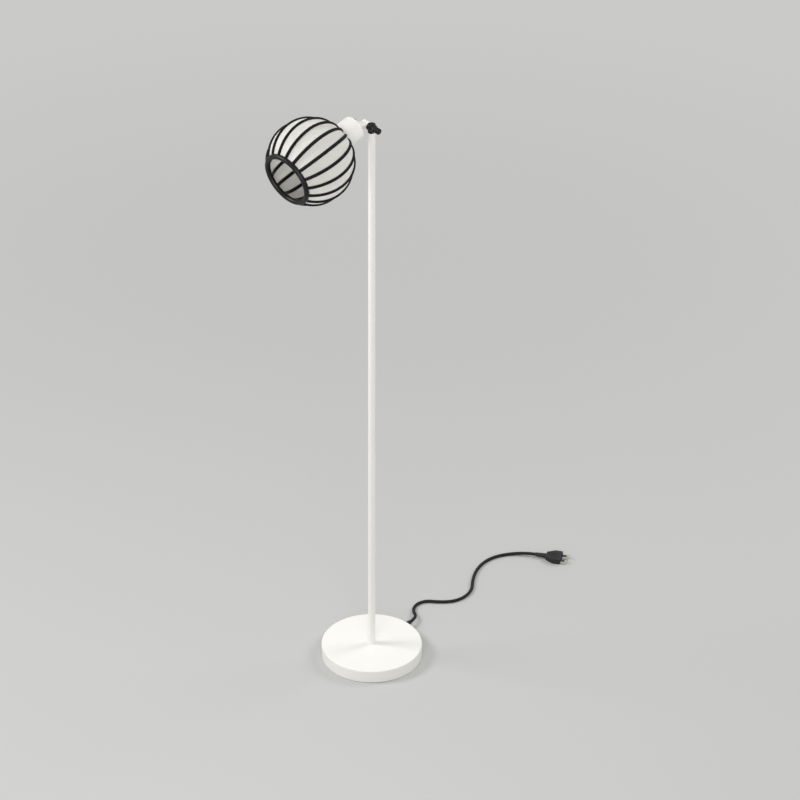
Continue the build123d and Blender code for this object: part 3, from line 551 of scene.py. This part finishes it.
finishes = {
    "white_enamel": powderCoat("whitePowderCoat", "#F3F2EE", "#EBEAE5", roughness=0.34, peel=1.3,
                               peelDepth=0.1, specular=0.5),
    "black_metal": powderCoat("blackPowderCoat", "#0D0D0E", "#080809", roughness=0.40, peel=0.9,
                              peelDepth=0.12, specular=0.3),
    "shade_fabric": wovenCotton(),
    "black_piping": twillTape(),
    "cord_textile": braidedTextile(),
    "cast_weight": castIron(),
    "zinc_steel": platedMetal("zincPlate", "#C3C6C9", "#A4A8AC", roughness=0.34),
    "nickel_brass": platedMetal("nickelPlate", "#D8D2C4", "#BDB6A6", roughness=0.24),
    "foam_pad": evaFoam(),
    "black_plastic": mouldedPiece("blackPhenolic", "#121213", "#0B0B0C", roughness=0.38, grain=0.9, ior=1.6),
    "black_vinyl": mouldedPiece("blackVinyl", "#151516", "#0F0F10", roughness=0.5, grain=0.7, ior=1.53),
    "clear_lead": mouldedPiece("whiteLead", "#E4E3DE", "#D8D6D0", roughness=0.5, grain=0.9, ior=1.53),
    "porcelain": mouldedPiece("porcelain", "#F0EEE8", "#E6E3DB", roughness=0.2, grain=3.0, ior=1.5),
    "bulb_opal": opalPlastic(),
    "bulb_shell": mouldedPiece("whiteShell", "#EFEEEA", "#E6E5E0", roughness=0.4, grain=0.9, ior=1.57),
    "board_aluminium": mouldedPiece("whiteResist", "#E9EAE9", "#DCDDDD", roughness=0.45, grain=1.2,
                                    ior=1.55),
    "black_insulator": mouldedPiece("blackGlass", "#0E0E10", "#151517", roughness=0.15, grain=3.0, ior=1.52),
}


def paintNodes():
    for part in frame["record"]["subparts"]:
        node = frame["nodes"][part["node"]]
        node.data.materials.clear()
        node.data.materials.append(finishes[part["material_slot"]])


paintNodes()
print("materials made:", len(finishes))


# mains cord: the route's points from the CAD model, in metres, as the control points of one smooth spline

cord = {
    "diameter": 7 * mm,
    "length": 0.462,
    "carriers": 10,        # strands each way; a real braid has about 24, drawn wider to show
    "depth": 0.45 * mm,
    "strandRound": 0.6,    # under 1 makes a strand's back flatter
    "dip": 0.5,            # share of its height that a strand loses between two crossings
    "ringStep": 0.37 * mm,
    "around": 60,
    "lineSteps": 32,       # points on the spline for each point of the route
    "pathStep": 8,         # rings from one point of the path to the next
    "route": [
        (-0.01390, 0.13227, 0.012),
        (-0.01641, 0.15614, 0.012),
        (-0.0485, 0.1755, 0.00355),
        (-0.0610, 0.1975, 0.00355),
        (-0.0555, 0.2220, 0.00355),
        (-0.0310, 0.2400, 0.00355),
        (-0.0105, 0.2635, 0.00355),
        (-0.0045, 0.2930, 0.00355),
        (-0.0130, 0.3235, 0.00355),
        (-0.0375, 0.3495, 0.00355),
        (-0.0570, 0.3785, 0.00355),
        (-0.0690, 0.4125, 0.00355),
        (-0.0670, 0.4480, 0.00355),
        (-0.0495, 0.4810, 0.00355),
        (-0.0215, 0.5045, 0.0070),
        (-0.0065, 0.5135, 0.0070),
    ],
}


def cordLine():
    # points along the smooth spline, close together
    curve = bpy.data.curves.new("cordLine", "CURVE")
    curve.dimensions = "3D"
    curve.resolution_u = cord["lineSteps"]
    spline = curve.splines.new("NURBS")
    spline.points.add(len(cord["route"]) - 1)
    for point, place in zip(spline.points, cord["route"]):
        point.co = (*place, 1)
    spline.order_u = 3
    spline.use_endpoint_u = True
    holder = bpy.data.objects.new("cordLine", curve)
    mesh = bpy.data.meshes.new_from_object(holder)
    line = np.array([vertex.co for vertex in mesh.vertices])
    bpy.data.meshes.remove(mesh)
    bpy.data.objects.remove(holder)
    along = np.concatenate([[0], np.cumsum(np.linalg.norm(np.diff(line, axis=0), axis=1))])
    rings = round(along[-1] / cord["ringStep"])
    at = np.linspace(0, along[-1], rings + 1)
    return at, np.stack([np.interp(at, along, line[:, k]) for k in range(3)], axis=1)


def braidHeight(turn, along):
    # strands of two crossing helices, each over one and under one, from 0 in the gaps to 1 on top
    spacing = math.pi * cord["diameter"] / cord["carriers"]
    first = cord["carriers"] * turn + along / spacing
    second = cord["carriers"] * turn - along / spacing
    firstAcross = np.sin(math.pi * (first % 1))
    secondAcross = np.sin(math.pi * (second % 1))
    firstOnTop = (np.floor(first) + np.floor(second)) % 2 == 0
    over = firstAcross ** cord["strandRound"] * (1 - cord["dip"] + cord["dip"] * secondAcross)
    under = secondAcross ** cord["strandRound"] * (1 - cord["dip"] + cord["dip"] * firstAcross)
    return np.where(firstOnTop, over, under)


def makeCord():
    at, line = cordLine()
    ahead = np.gradient(line, axis=0)
    ahead /= np.linalg.norm(ahead, axis=1)[:, None]
    side = np.cross(ahead, (0, 0, 1))
    side /= np.linalg.norm(side, axis=1)[:, None]
    upward = np.cross(side, ahead)
    turns = np.arange(cord["around"]) / cord["around"]
    height = braidHeight(turns[None, :], at[:, None])
    radius = cord["diameter"] / 2 - cord["depth"] * (1 - height)
    angle = 2 * math.pi * turns[None, :, None]
    outward = np.cos(angle) * side[:, None] + np.sin(angle) * upward[:, None]
    points = line[:, None] + radius[:, :, None] * outward
    rings, around = height.shape
    first = np.arange(rings - 1)[:, None] * around
    now = np.arange(around)[None, :]
    nextOne = (now + 1) % around
    faces = np.stack([first + now, first + nextOne, first + around + nextOne, first + around + now], axis=-1)
    ends = [list(range(around))[::-1], list(range((rings - 1) * around, rings * around))]
    mesh = bpy.data.meshes.new("mainsCord")
    mesh.from_pydata(points.reshape(-1, 3).tolist(), [], faces.reshape(-1, 4).tolist() + ends)
    mesh.flip_normals()
    layer = mesh.uv_layers.new(name="braid")
    vertexOf = np.empty(len(mesh.loops), np.int32)
    mesh.loops.foreach_get("vertex_index", vertexOf)
    girth = math.pi * cord["diameter"]
    uv = np.stack([turns[vertexOf % around] * girth, at[vertexOf // around]], axis=1)
    layer.data.foreach_set("uv", uv.ravel())
    mesh.polygons.foreach_set("use_smooth", [True] * len(mesh.polygons))
    piece = bpy.data.objects.new("mainsCord", mesh)
    bpy.context.scene.collection.objects.link(piece)
    settle(piece, "mainsCord", "stand", "cord_textile", finishes["cord_textile"], "mains_cord")
    print("cord length", round(float(at[-1]), 4))
    return piece, line


cordPiece, cordPoints = makeCord()


# shade: a gored cotton cover stretched over the struts, with piped seams

shade = {
    "ballRadius": 94.6 * mm,      # middle of the cloth
    "cloth": 0.8 * mm,
    "ribs": 18,
    "ribPhase": 6.5,              # degrees from the hinge's line to the first rib
    "neckRadius": 28.6 * mm,
    "rimRadius": 59.5 * mm,
    "rimSection": 12 * mm,
    "strutHalf": 3.5 * mm,
    "strutEase": 0.3 * mm,        # cloth beside a strut that stays on its level
    "sag": 2.2 * mm,              # how far a gore falls in between two ribs, at the widest place
    "sagNarrowing": 1.5,          # power by which the sag falls off where a gore is narrower
    "sagRound": 1.3,              # power that eases the hollow into the ribs
    "leastFree": 0.001 * mm,      # free width where two struts nearly meet
    "ripple": 0.25 * mm,          # pulled cloth beside the neck and the rim
    "rippleReach": 14 * mm,
    "rippleLength": 7 * mm,
    "segments": 288,
    "rings": 144,
    "goreShift": 0.1,             # metres from one gore to the next on the flat map of the threads
    "smoothAngle": 50,
}


def headPlace():
    # the ball's own frame: X along the hinge, Z from the neck to the mouth
    press = next(joint for joint in frame["joints"] if joint["name"] == "switch_press")
    forward = Vector(press["axis"]).normalized()
    hinge = Vector((1, 0, 0))
    rimLow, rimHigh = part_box("mouth_ring")
    toRim = math.sqrt(shade["ballRadius"] ** 2 - shade["rimRadius"] ** 2)
    centre = (rimLow + rimHigh) / 2 - forward * toRim
    turn = Matrix((hinge, forward.cross(hinge), forward)).transposed()
    return Matrix.Translation(centre) @ turn.to_4x4()


ballPlace = headPlace()
rimLatitude = math.acos(shade["rimRadius"] / shade["ballRadius"])
neckLatitude = -math.acos(shade["neckRadius"] / shade["ballRadius"])
clothEnd = rimLatitude - shade["rimSection"] / 2 / shade["ballRadius"]
goreTurn = 2 * math.pi / shade["ribs"]
ribAngles = [math.radians(shade["ribPhase"]) + k * goreTurn for k in range(shade["ribs"])]
ribPlaces = [ballPlace @ Matrix.Rotation(angle, 4, "Z") for angle in ribAngles]


def shapeGores(piece):
    # pulls the cloth in between the ribs, most at the equator, and ripples it near its two edges
    mesh = piece.data
    points = np.empty(len(mesh.vertices) * 3)
    mesh.vertices.foreach_get("co", points)
    points = points.reshape(-1, 3)
    radius = shade["ballRadius"]
    tilt = np.arcsin(np.clip(points[:, 2] / radius, -1, 1))
    around = np.arctan2(points[:, 1], points[:, 0]) - ribAngles[0]
    half = goreTurn / 2 * radius * np.cos(tilt)
    across = ((around % goreTurn) / goreTurn * 2 - 1) * half
    free = np.maximum(half - shade["strutHalf"] - shade["strutEase"], shade["leastFree"])
    widest = goreTurn / 2 * radius - shade["strutHalf"]
    hollow = np.clip(1 - (across / free) ** 2, 0, 1) ** shade["sagRound"]
    sag = shade["sag"] * (free / widest) ** shade["sagNarrowing"] * hollow
    edge = np.minimum(tilt - neckLatitude, clothEnd - tilt) * radius
    fade = np.exp(-np.maximum(edge, 0) / shade["rippleReach"])
    sag += shade["ripple"] * fade * hollow * np.cos(2 * math.pi * across / shade["rippleLength"])
    points *= ((radius - sag) / np.linalg.norm(points, axis=1))[:, None]
    mesh.vertices.foreach_set("co", points.ravel())


def threadMap(piece):
    # each gore's own flat cut, in metres: across it and along it
    mesh = piece.data
    layer = mesh.uv_layers.new(name="threads")
    for face in mesh.polygons:
        gore = (math.atan2(face.center.y, face.center.x) - ribAngles[0]) // goreTurn
        for loop in face.loop_indices:
            place = mesh.vertices[mesh.loops[loop].vertex_index].co
            tilt = math.atan2(place.z, math.hypot(place.x, place.y))
            around = math.atan2(place.y, place.x) - ribAngles[0]
            offset = (around - (gore + 0.5) * goreTurn + math.pi) % (2 * math.pi) - math.pi
            across = offset * shade["ballRadius"] * math.cos(tilt)
            layer.data[loop].uv = (across + gore * shade["goreShift"], tilt * shade["ballRadius"])


def makeSkin():
    deselectAll()
    bpy.ops.mesh.primitive_uv_sphere_add(segments=shade["segments"], ring_count=shade["rings"],
                                         radius=shade["ballRadius"])
    piece = bpy.context.object
    piece.data.transform(Matrix.Rotation(ribAngles[0], 4, "Z"))
    bpy.ops.object.mode_set(mode="EDIT")
    for level, upward in ((neckLatitude, -1), (clothEnd, 1)):
        bpy.ops.mesh.select_all(action="SELECT")
        bpy.ops.mesh.bisect(plane_co=(0, 0, math.sin(level) * shade["ballRadius"]), plane_no=(0, 0, upward),
                            clear_outer=True)
    bpy.ops.object.mode_set(mode="OBJECT")
    shapeGores(piece)
    threadMap(piece)
    piece.data.transform(ballPlace)
    applyModifier(piece, "SOLIDIFY", thickness=shade["cloth"], offset=0)
    smoothFaces(shade["smoothAngle"])
    return settle(piece, "shadeSkin", "head", "shade_fabric", finishes["shade_fabric"], "shade_skin")


piping = {
    "half": 4 * mm,
    "seat": 95.15 * mm,        # underside, just clear of the cloth
    "height": 4 * mm,
    "flange": 1 * mm,          # flat edges beside the bead
    "beadHalf": 3 * mm,
    "edgeTurn": 0.35,          # an edge is rounded where the sine of a point's turn is under this
    "neckRadius": 30.6 * mm,
    "rimGap": 0.05 * mm,
    "around": 44,
    "steps": 64,
    "weld": 0.01 * mm,
    "smoothAngle": 55,
}
stitch = {
    "row": 3.5 * mm,           # from the middle of the seam
    "length": 2.6 * mm,
    "pitch": 3.8 * mm,
    "thick": 0.55 * mm,
    "taper": 0.22,             # each end narrows by this share of the thickness
    "point": 0.3,              # and stands out by this share
    "level": 0.97,             # of the tape's flat edge, so that half of the thread is sunk in it
    "rowShift": 0.5,           # share of a pitch by which the second row is ahead
    "sides": 6,
    "smoothAngle": 60,
}


def rimStop(reach):
    # latitude where a strip that lies this far from the ball's centre meets the rim's round section
    rise = reach - shade["ballRadius"]
    toRim = math.sqrt((shade["rimSection"] / 2) ** 2 - rise ** 2) + piping["rimGap"]
    return rimLatitude - toRim / reach


pipingStart = -math.acos(piping["neckRadius"] / (piping["seat"] + piping["height"]))
pipingEnd = rimStop(piping["seat"] + piping["flange"])


def pipingOutline(turn):
    # one point round the section, as (across, height): a flat underside, flat edges and a round bead
    across = piping["half"] * math.cos(turn)
    edge = np.clip(math.sin(turn) / piping["edgeTurn"], 0, 1)
    bead = math.sqrt(max(0, 1 - (across / piping["beadHalf"]) ** 2))
    rise = (piping["height"] - piping["flange"]) * bead if edge > 0 else 0
    return across, piping["flange"] * edge + rise


def fitToRim(strip):
    # stretches the strip along its rib, so that its end follows the rim
    for vertex in strip.data.vertices:
        reach = math.hypot(vertex.co.x, vertex.co.z)
        share = (math.atan2(vertex.co.z, vertex.co.x) - pipingStart) / (pipingEnd - pipingStart)
        tilt = pipingStart + share * (rimStop(reach) - pipingStart)
        vertex.co = (reach * math.cos(tilt), vertex.co.y, reach * math.sin(tilt))


def tapeMap(strip):
    # the tape laid flat, in metres: across it, over the bead, and along it
    layer = strip.data.uv_layers.new(name="tape")
    for loop in strip.data.loops:
        place = strip.data.vertices[loop.vertex_index].co
        rise = math.hypot(place.x, place.z) - piping["seat"] - piping["flange"]
        beside = max(0, abs(place.y) - piping["beadHalf"])
        across = piping["beadHalf"] * math.atan2(place.y, max(0, rise)) + math.copysign(beside, place.y)
        layer.data[loop.index].uv = (across, math.atan2(place.z, place.x) * piping["seat"])


def makePiping():
    deselectAll()
    bpy.ops.mesh.primitive_circle_add(vertices=piping["around"], radius=piping["half"], fill_type="NGON",
                                      calc_uvs=False)
    strip = bpy.context.object
    for vertex in strip.data.vertices:
        across, height = pipingOutline(math.atan2(vertex.co.y, vertex.co.x))
        vertex.co = (piping["seat"] + height, across, 0)
    strip.data.transform(Matrix.Rotation(-pipingStart, 4, "Y"))
    bpy.ops.object.mode_set(mode="EDIT")
    bpy.ops.mesh.select_all(action="SELECT")
    bpy.ops.mesh.spin(steps=piping["steps"], angle=pipingEnd - pipingStart, center=(0, 0, 0), axis=(0, 1, 0))
    bpy.ops.mesh.select_all(action="SELECT")
    bpy.ops.mesh.remove_doubles(threshold=piping["weld"])
    bpy.ops.mesh.normals_make_consistent(inside=False)
    bpy.ops.object.mode_set(mode="OBJECT")
    fitToRim(strip)
    tapeMap(strip)
    joined = joinedCopies(strip, ribPlaces)
    smoothFaces(piping["smoothAngle"])
    return settle(joined, "shadePiping", "head", "black_piping", finishes["black_piping"], "shade_piping")


def makeStitches():
    # two rows on each seam, a little proud of the tape's edges
    deselectAll()
    bpy.ops.mesh.primitive_cylinder_add(vertices=stitch["sides"], radius=stitch["thick"] / 2,
                                        depth=stitch["length"])
    piece = bpy.context.object
    pick(piece, "polygons", lambda face: abs(face.normal.z) > squareOn)
    bpy.ops.mesh.inset(thickness=stitch["thick"] * stitch["taper"], depth=stitch["thick"] * stitch["point"])
    bpy.ops.object.mode_set(mode="OBJECT")
    lift = piping["seat"] + piping["flange"] * stitch["level"]
    pitch = stitch["pitch"] / lift
    first = pipingStart + pitch
    count = int((pipingEnd - first) / pitch)
    places = []
    for side, shift in ((-1, 0), (1, stitch["rowShift"])):
        for index in range(count):
            tilt = first + (index + shift) * pitch
            place = Matrix.Translation((lift, side * stitch["row"], 0))
            places.append(Matrix.Rotation(-tilt, 4, "Y") @ place)
    joined = joinedCopies(joinedCopies(piece, places), ribPlaces)
    smoothFaces(stitch["smoothAngle"])
    return settle(joined, "shadeStitches", "head", "black_piping", sewingThread())


skinPiece = makeSkin()
pipingPiece = makePiping()
stitchPiece = makeStitches()


# base pad: a disc of foam, with its cut edge eased by the lamp's weight

pad = {
    "radius": 104 * mm,
    "thickness": 2 * mm,
    "edge": 0.7 * mm,
    "edgeSteps": 4,
    "edgeAngle": 60,
    "sides": 144,
    "rings": 3,
    "ringStep": 8 * mm,
    "smoothAngle": 30,
}


def makePad():
    deselectAll()
    bpy.ops.mesh.primitive_cylinder_add(vertices=pad["sides"], radius=pad["radius"], depth=pad["thickness"],
                                        location=(0, 0, pad["thickness"] / 2))
    piece = bpy.context.object
    bpy.ops.object.transform_apply(location=True, rotation=True, scale=True)
    pick(piece, "polygons", lambda face: abs(face.normal.z) > squareOn)
    for ring in range(pad["rings"]):
        bpy.ops.mesh.inset(thickness=pad["ringStep"])
    roundEdges(piece, pad)
    smoothFaces(pad["smoothAngle"])
    return settle(piece, "basePad", "stand", "foam_pad", finishes["foam_pad"], "base_pad")


padPiece = makePad()


# flex sleeves: tapered vinyl reliefs with slots cut by turns across and upright, so that they bend all ways

bushing = {
    "name": "cordBushing",
    "replaces": "cord_bushing",
    "root": 6.25 * mm,
    "tip": 4.7 * mm,
    "from": 3 * mm,            # along the cord, from the base's wall
    "to": 23 * mm,
    "slots": 6,
    "slotDepth": 1.5 * mm,
    "bore": 3.55 * mm,
    "flange": 8.5 * mm,
    "neck": 5.9 * mm,
    "inside": 8 * mm,
}
relief = {
    "name": "plugRelief",
    "replaces": "plug_relief",
    "root": 5.5 * mm,
    "tip": 4.3 * mm,
    "from": 24 * mm,           # back along the cord, from the plug's body
    "to": 0,
    "slots": 7,
    "slotDepth": 1.2 * mm,
    "bore": 3.55 * mm,
}
sleeves = {
    "sides": 48,
    "steep": 0.5,              # a face is on the side where its normal has less than this along the cord
    "slotReach": 0.34,         # a slot goes round to where the normal has less than this across it
    "slotStep": 0.02 * mm,
    "boreDepth": 2 * mm,
    "boreStep": 0.01 * mm,
    "edge": 0.22 * mm,
    "edgeSteps": 2,
    "edgeAngle": 40,
    "smoothAngle": 40,
}


def frameAlong(origin, forward):
    # Z along the cord, X level and Y up
    forward = Vector(forward).normalized()
    side = forward.cross(Vector((0, 0, -1))).normalized()
    turn = Matrix((side, forward.cross(side), forward)).transposed()
    return Matrix.Translation(Vector(origin)) @ turn.to_4x4()


route = [Vector(point) for point in cord["route"]]
exitForward = (route[1] - route[0]).normalized()
wallPlace = frameAlong(route[0] - exitForward * bushing["to"], exitForward)
plugPlace = frameAlong(route[-1], route[-1] - route[-2])


def makeSleeve(sleeve, place):
    deselectAll()
    low, high = sorted((sleeve["from"], sleeve["to"]))
    radii = (sleeve["root"], sleeve["tip"])
    lowRadius, highRadius = radii if sleeve["from"] < sleeve["to"] else radii[::-1]
    bpy.ops.mesh.primitive_cone_add(vertices=sleeves["sides"], radius1=lowRadius, radius2=highRadius,
                                    depth=high - low, location=(0, 0, (low + high) / 2))
    piece = bpy.context.object
    bpy.ops.object.transform_apply(location=True, rotation=True, scale=True)
    pitch = (high - low) / (sleeve["slots"] + 0.5)
    bands = [(low + pitch * (k + 0.5), low + pitch * (k + 1)) for k in range(sleeve["slots"])]
    bpy.ops.object.mode_set(mode="EDIT")
    for level in sum(bands, ()):
        bpy.ops.mesh.select_all(action="SELECT")
        bpy.ops.mesh.bisect(plane_co=(0, 0, level), plane_no=(0, 0, 1))
    for k, (start, end) in enumerate(bands):
        pick(piece, "polygons", lambda face: start < face.center.z < end
             and abs(face.normal.z) < sleeves["steep"] and abs(face.normal[k % 2]) > sleeves["slotReach"])
        bpy.ops.mesh.inset(thickness=sleeves["slotStep"], depth=-sleeve["slotDepth"])
    tipUp = 1 if sleeve["to"] == high else -1
    pick(piece, "polygons", lambda face: face.normal.z * tipUp > squareOn
         and abs(face.center.z - sleeve["to"]) < nearby)
    bpy.ops.mesh.inset(thickness=sleeve["tip"] - sleeve["bore"])
    bpy.ops.mesh.inset(thickness=sleeves["boreStep"], depth=-sleeves["boreDepth"])
    if "flange" in sleeve:
        # a collar against the wall, then the neck through it
        pick(piece, "polygons", lambda face: face.normal.z < -squareOn and abs(face.center.z - low) < nearby)
        widen = sleeve["flange"] / sleeve["root"]
        narrow = sleeve["neck"] / sleeve["flange"]
        bpy.ops.mesh.extrude_region_move()
        bpy.ops.transform.resize(value=(widen, widen, 1), center_override=(0, 0, low))
        bpy.ops.mesh.extrude_region_move(TRANSFORM_OT_translate={"value": (0, 0, -low)})
        bpy.ops.mesh.extrude_region_move()
        bpy.ops.transform.resize(value=(narrow, narrow, 1), center_override=(0, 0, 0))
        bpy.ops.mesh.extrude_region_move(TRANSFORM_OT_translate={"value": (0, 0, -sleeve["inside"])})
    roundEdges(piece, sleeves)
    piece.data.transform(place)
    smoothFaces(sleeves["smoothAngle"])
    return settle(piece, sleeve["name"], "stand", "black_vinyl", finishes["black_vinyl"], sleeve["replaces"])


makeSleeve(bushing, wallPlace)
reliefPiece = makeSleeve(relief, plugPlace)


# plug: a flat two-pin plug, moulded in one piece, with grip grooves above and below

plug = {
    "back": 24 * mm,           # along the cord, from where the relief begins
    "shoulder": 41 * mm,
    "front": 58 * mm,
    "width": 33 * mm,
    "backWidth": 17 * mm,
    "thickness": 14 * mm,
    "backThickness": 12 * mm,
    "edge": 1.4 * mm,
    "edgeSteps": 4,
    "edgeAngle": 15,
    "grips": 6,
    "gripStart": 30 * mm,
    "gripPitch": 3.6 * mm,
    "gripWidth": 2.0 * mm,
    "gripHalf": 6.2 * mm,
    "gripDepth": 0.7 * mm,
    "gripSlope": 0.45 * mm,
    "smoothAngle": 32,
}


def makePlug():
    deselectAll()
    length = plug["front"] - plug["back"]
    bpy.ops.mesh.primitive_cube_add(size=1, location=(0, 0, (plug["front"] + plug["back"]) / 2),
                                    scale=(plug["width"], plug["thickness"], length))
    piece = bpy.context.object
    bpy.ops.object.transform_apply(location=True, rotation=True, scale=True)
    bpy.ops.object.mode_set(mode="EDIT")
    bpy.ops.mesh.select_all(action="SELECT")
    bpy.ops.mesh.bisect(plane_co=(0, 0, plug["shoulder"]), plane_no=(0, 0, 1))
    pick(piece, "vertices", lambda vertex: vertex.co.z < plug["back"] + nearby)
    taper = (plug["backWidth"] / plug["width"], plug["backThickness"] / plug["thickness"], 1)
    bpy.ops.transform.resize(value=taper, center_override=(0, 0, plug["back"]))
    roundEdges(piece, plug)
    bpy.ops.object.mode_set(mode="EDIT")
    for k in range(plug["grips"]):
        for level in (0, plug["gripWidth"]):
            bpy.ops.mesh.select_all(action="SELECT")
            bpy.ops.mesh.bisect(plane_co=(0, 0, plug["gripStart"] + k * plug["gripPitch"] + level),
                                plane_no=(0, 0, 1))
    for side in (-1, 1):
        bpy.ops.mesh.select_all(action="SELECT")
        bpy.ops.mesh.bisect(plane_co=(side * plug["gripHalf"], 0, 0), plane_no=(1, 0, 0))

    def isGrip(face):
        along = (face.center.z - plug["gripStart"]) / plug["gripPitch"]
        inBand = 0 < along < plug["grips"] and along % 1 < plug["gripWidth"] / plug["gripPitch"]
        return abs(face.normal.y) > squareOn and inBand and abs(face.center.x) < plug["gripHalf"]

    pick(piece, "polygons", isGrip)
    bpy.ops.mesh.inset(thickness=plug["gripSlope"], depth=-plug["gripDepth"], use_individual=True)
    bpy.ops.object.mode_set(mode="OBJECT")
    piece.data.transform(plugPlace)
    smoothFaces(plug["smoothAngle"])
    return settle(piece, "plugBody", "stand", "black_vinyl", finishes["black_vinyl"], "plug_body")


plugPiece = makePlug()


# set screw of the hub: a headless screw with a hexagon socket

setScrew = {
    "sides": 36,
    "socketFlats": 2.0 * mm,
    "socketDepth": 1.8 * mm,
    "recess": 0.15 * mm,       # below the pole's face
    "edge": 0.12 * mm,
    "edgeSteps": 2,
    "edgeAngle": 50,
    "smoothAngle": 35,
}


def makeSetScrew():
    low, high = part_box("hub_set_screw")
    radius = (high.z - low.z) / 2
    length = high.y - low.y - setScrew["recess"]
    deselectAll()
    bpy.ops.mesh.primitive_cylinder_add(vertices=setScrew["sides"], radius=radius, depth=length,
                                        location=(0, 0, length / 2))
    piece = bpy.context.object
    bpy.ops.object.transform_apply(location=True, rotation=True, scale=True)
    pick(piece, "polygons", lambda face: face.normal.z > squareOn)
    bpy.ops.mesh.inset(thickness=radius - setScrew["socketFlats"] / 2)
    bpy.ops.object.mode_set(mode="OBJECT")
    sixth = math.pi / 3
    for vertex in piece.data.vertices:
        if vertex.select:
            turn = math.atan2(vertex.co.y, vertex.co.x)
            reach = setScrew["socketFlats"] / 2 / math.cos((turn + sixth / 2) % sixth - sixth / 2)
            vertex.co = (reach * math.cos(turn), reach * math.sin(turn), vertex.co.z)
    bpy.ops.object.mode_set(mode="EDIT")
    bpy.ops.mesh.extrude_region_move(TRANSFORM_OT_translate={"value": (0, 0, -setScrew["socketDepth"])})
    roundEdges(piece, setScrew)
    middle = (low + high) / 2
    lying = Matrix.Rotation(-math.pi / 2, 4, "X")
    piece.data.transform(Matrix.Translation((middle.x, low.y, middle.z)) @ lying)
    smoothFaces(setScrew["smoothAngle"])
    return settle(piece, "hubSetScrew", "stand", "zinc_steel", finishes["zinc_steel"], "hub_set_screw")


makeSetScrew()


print("scene built")
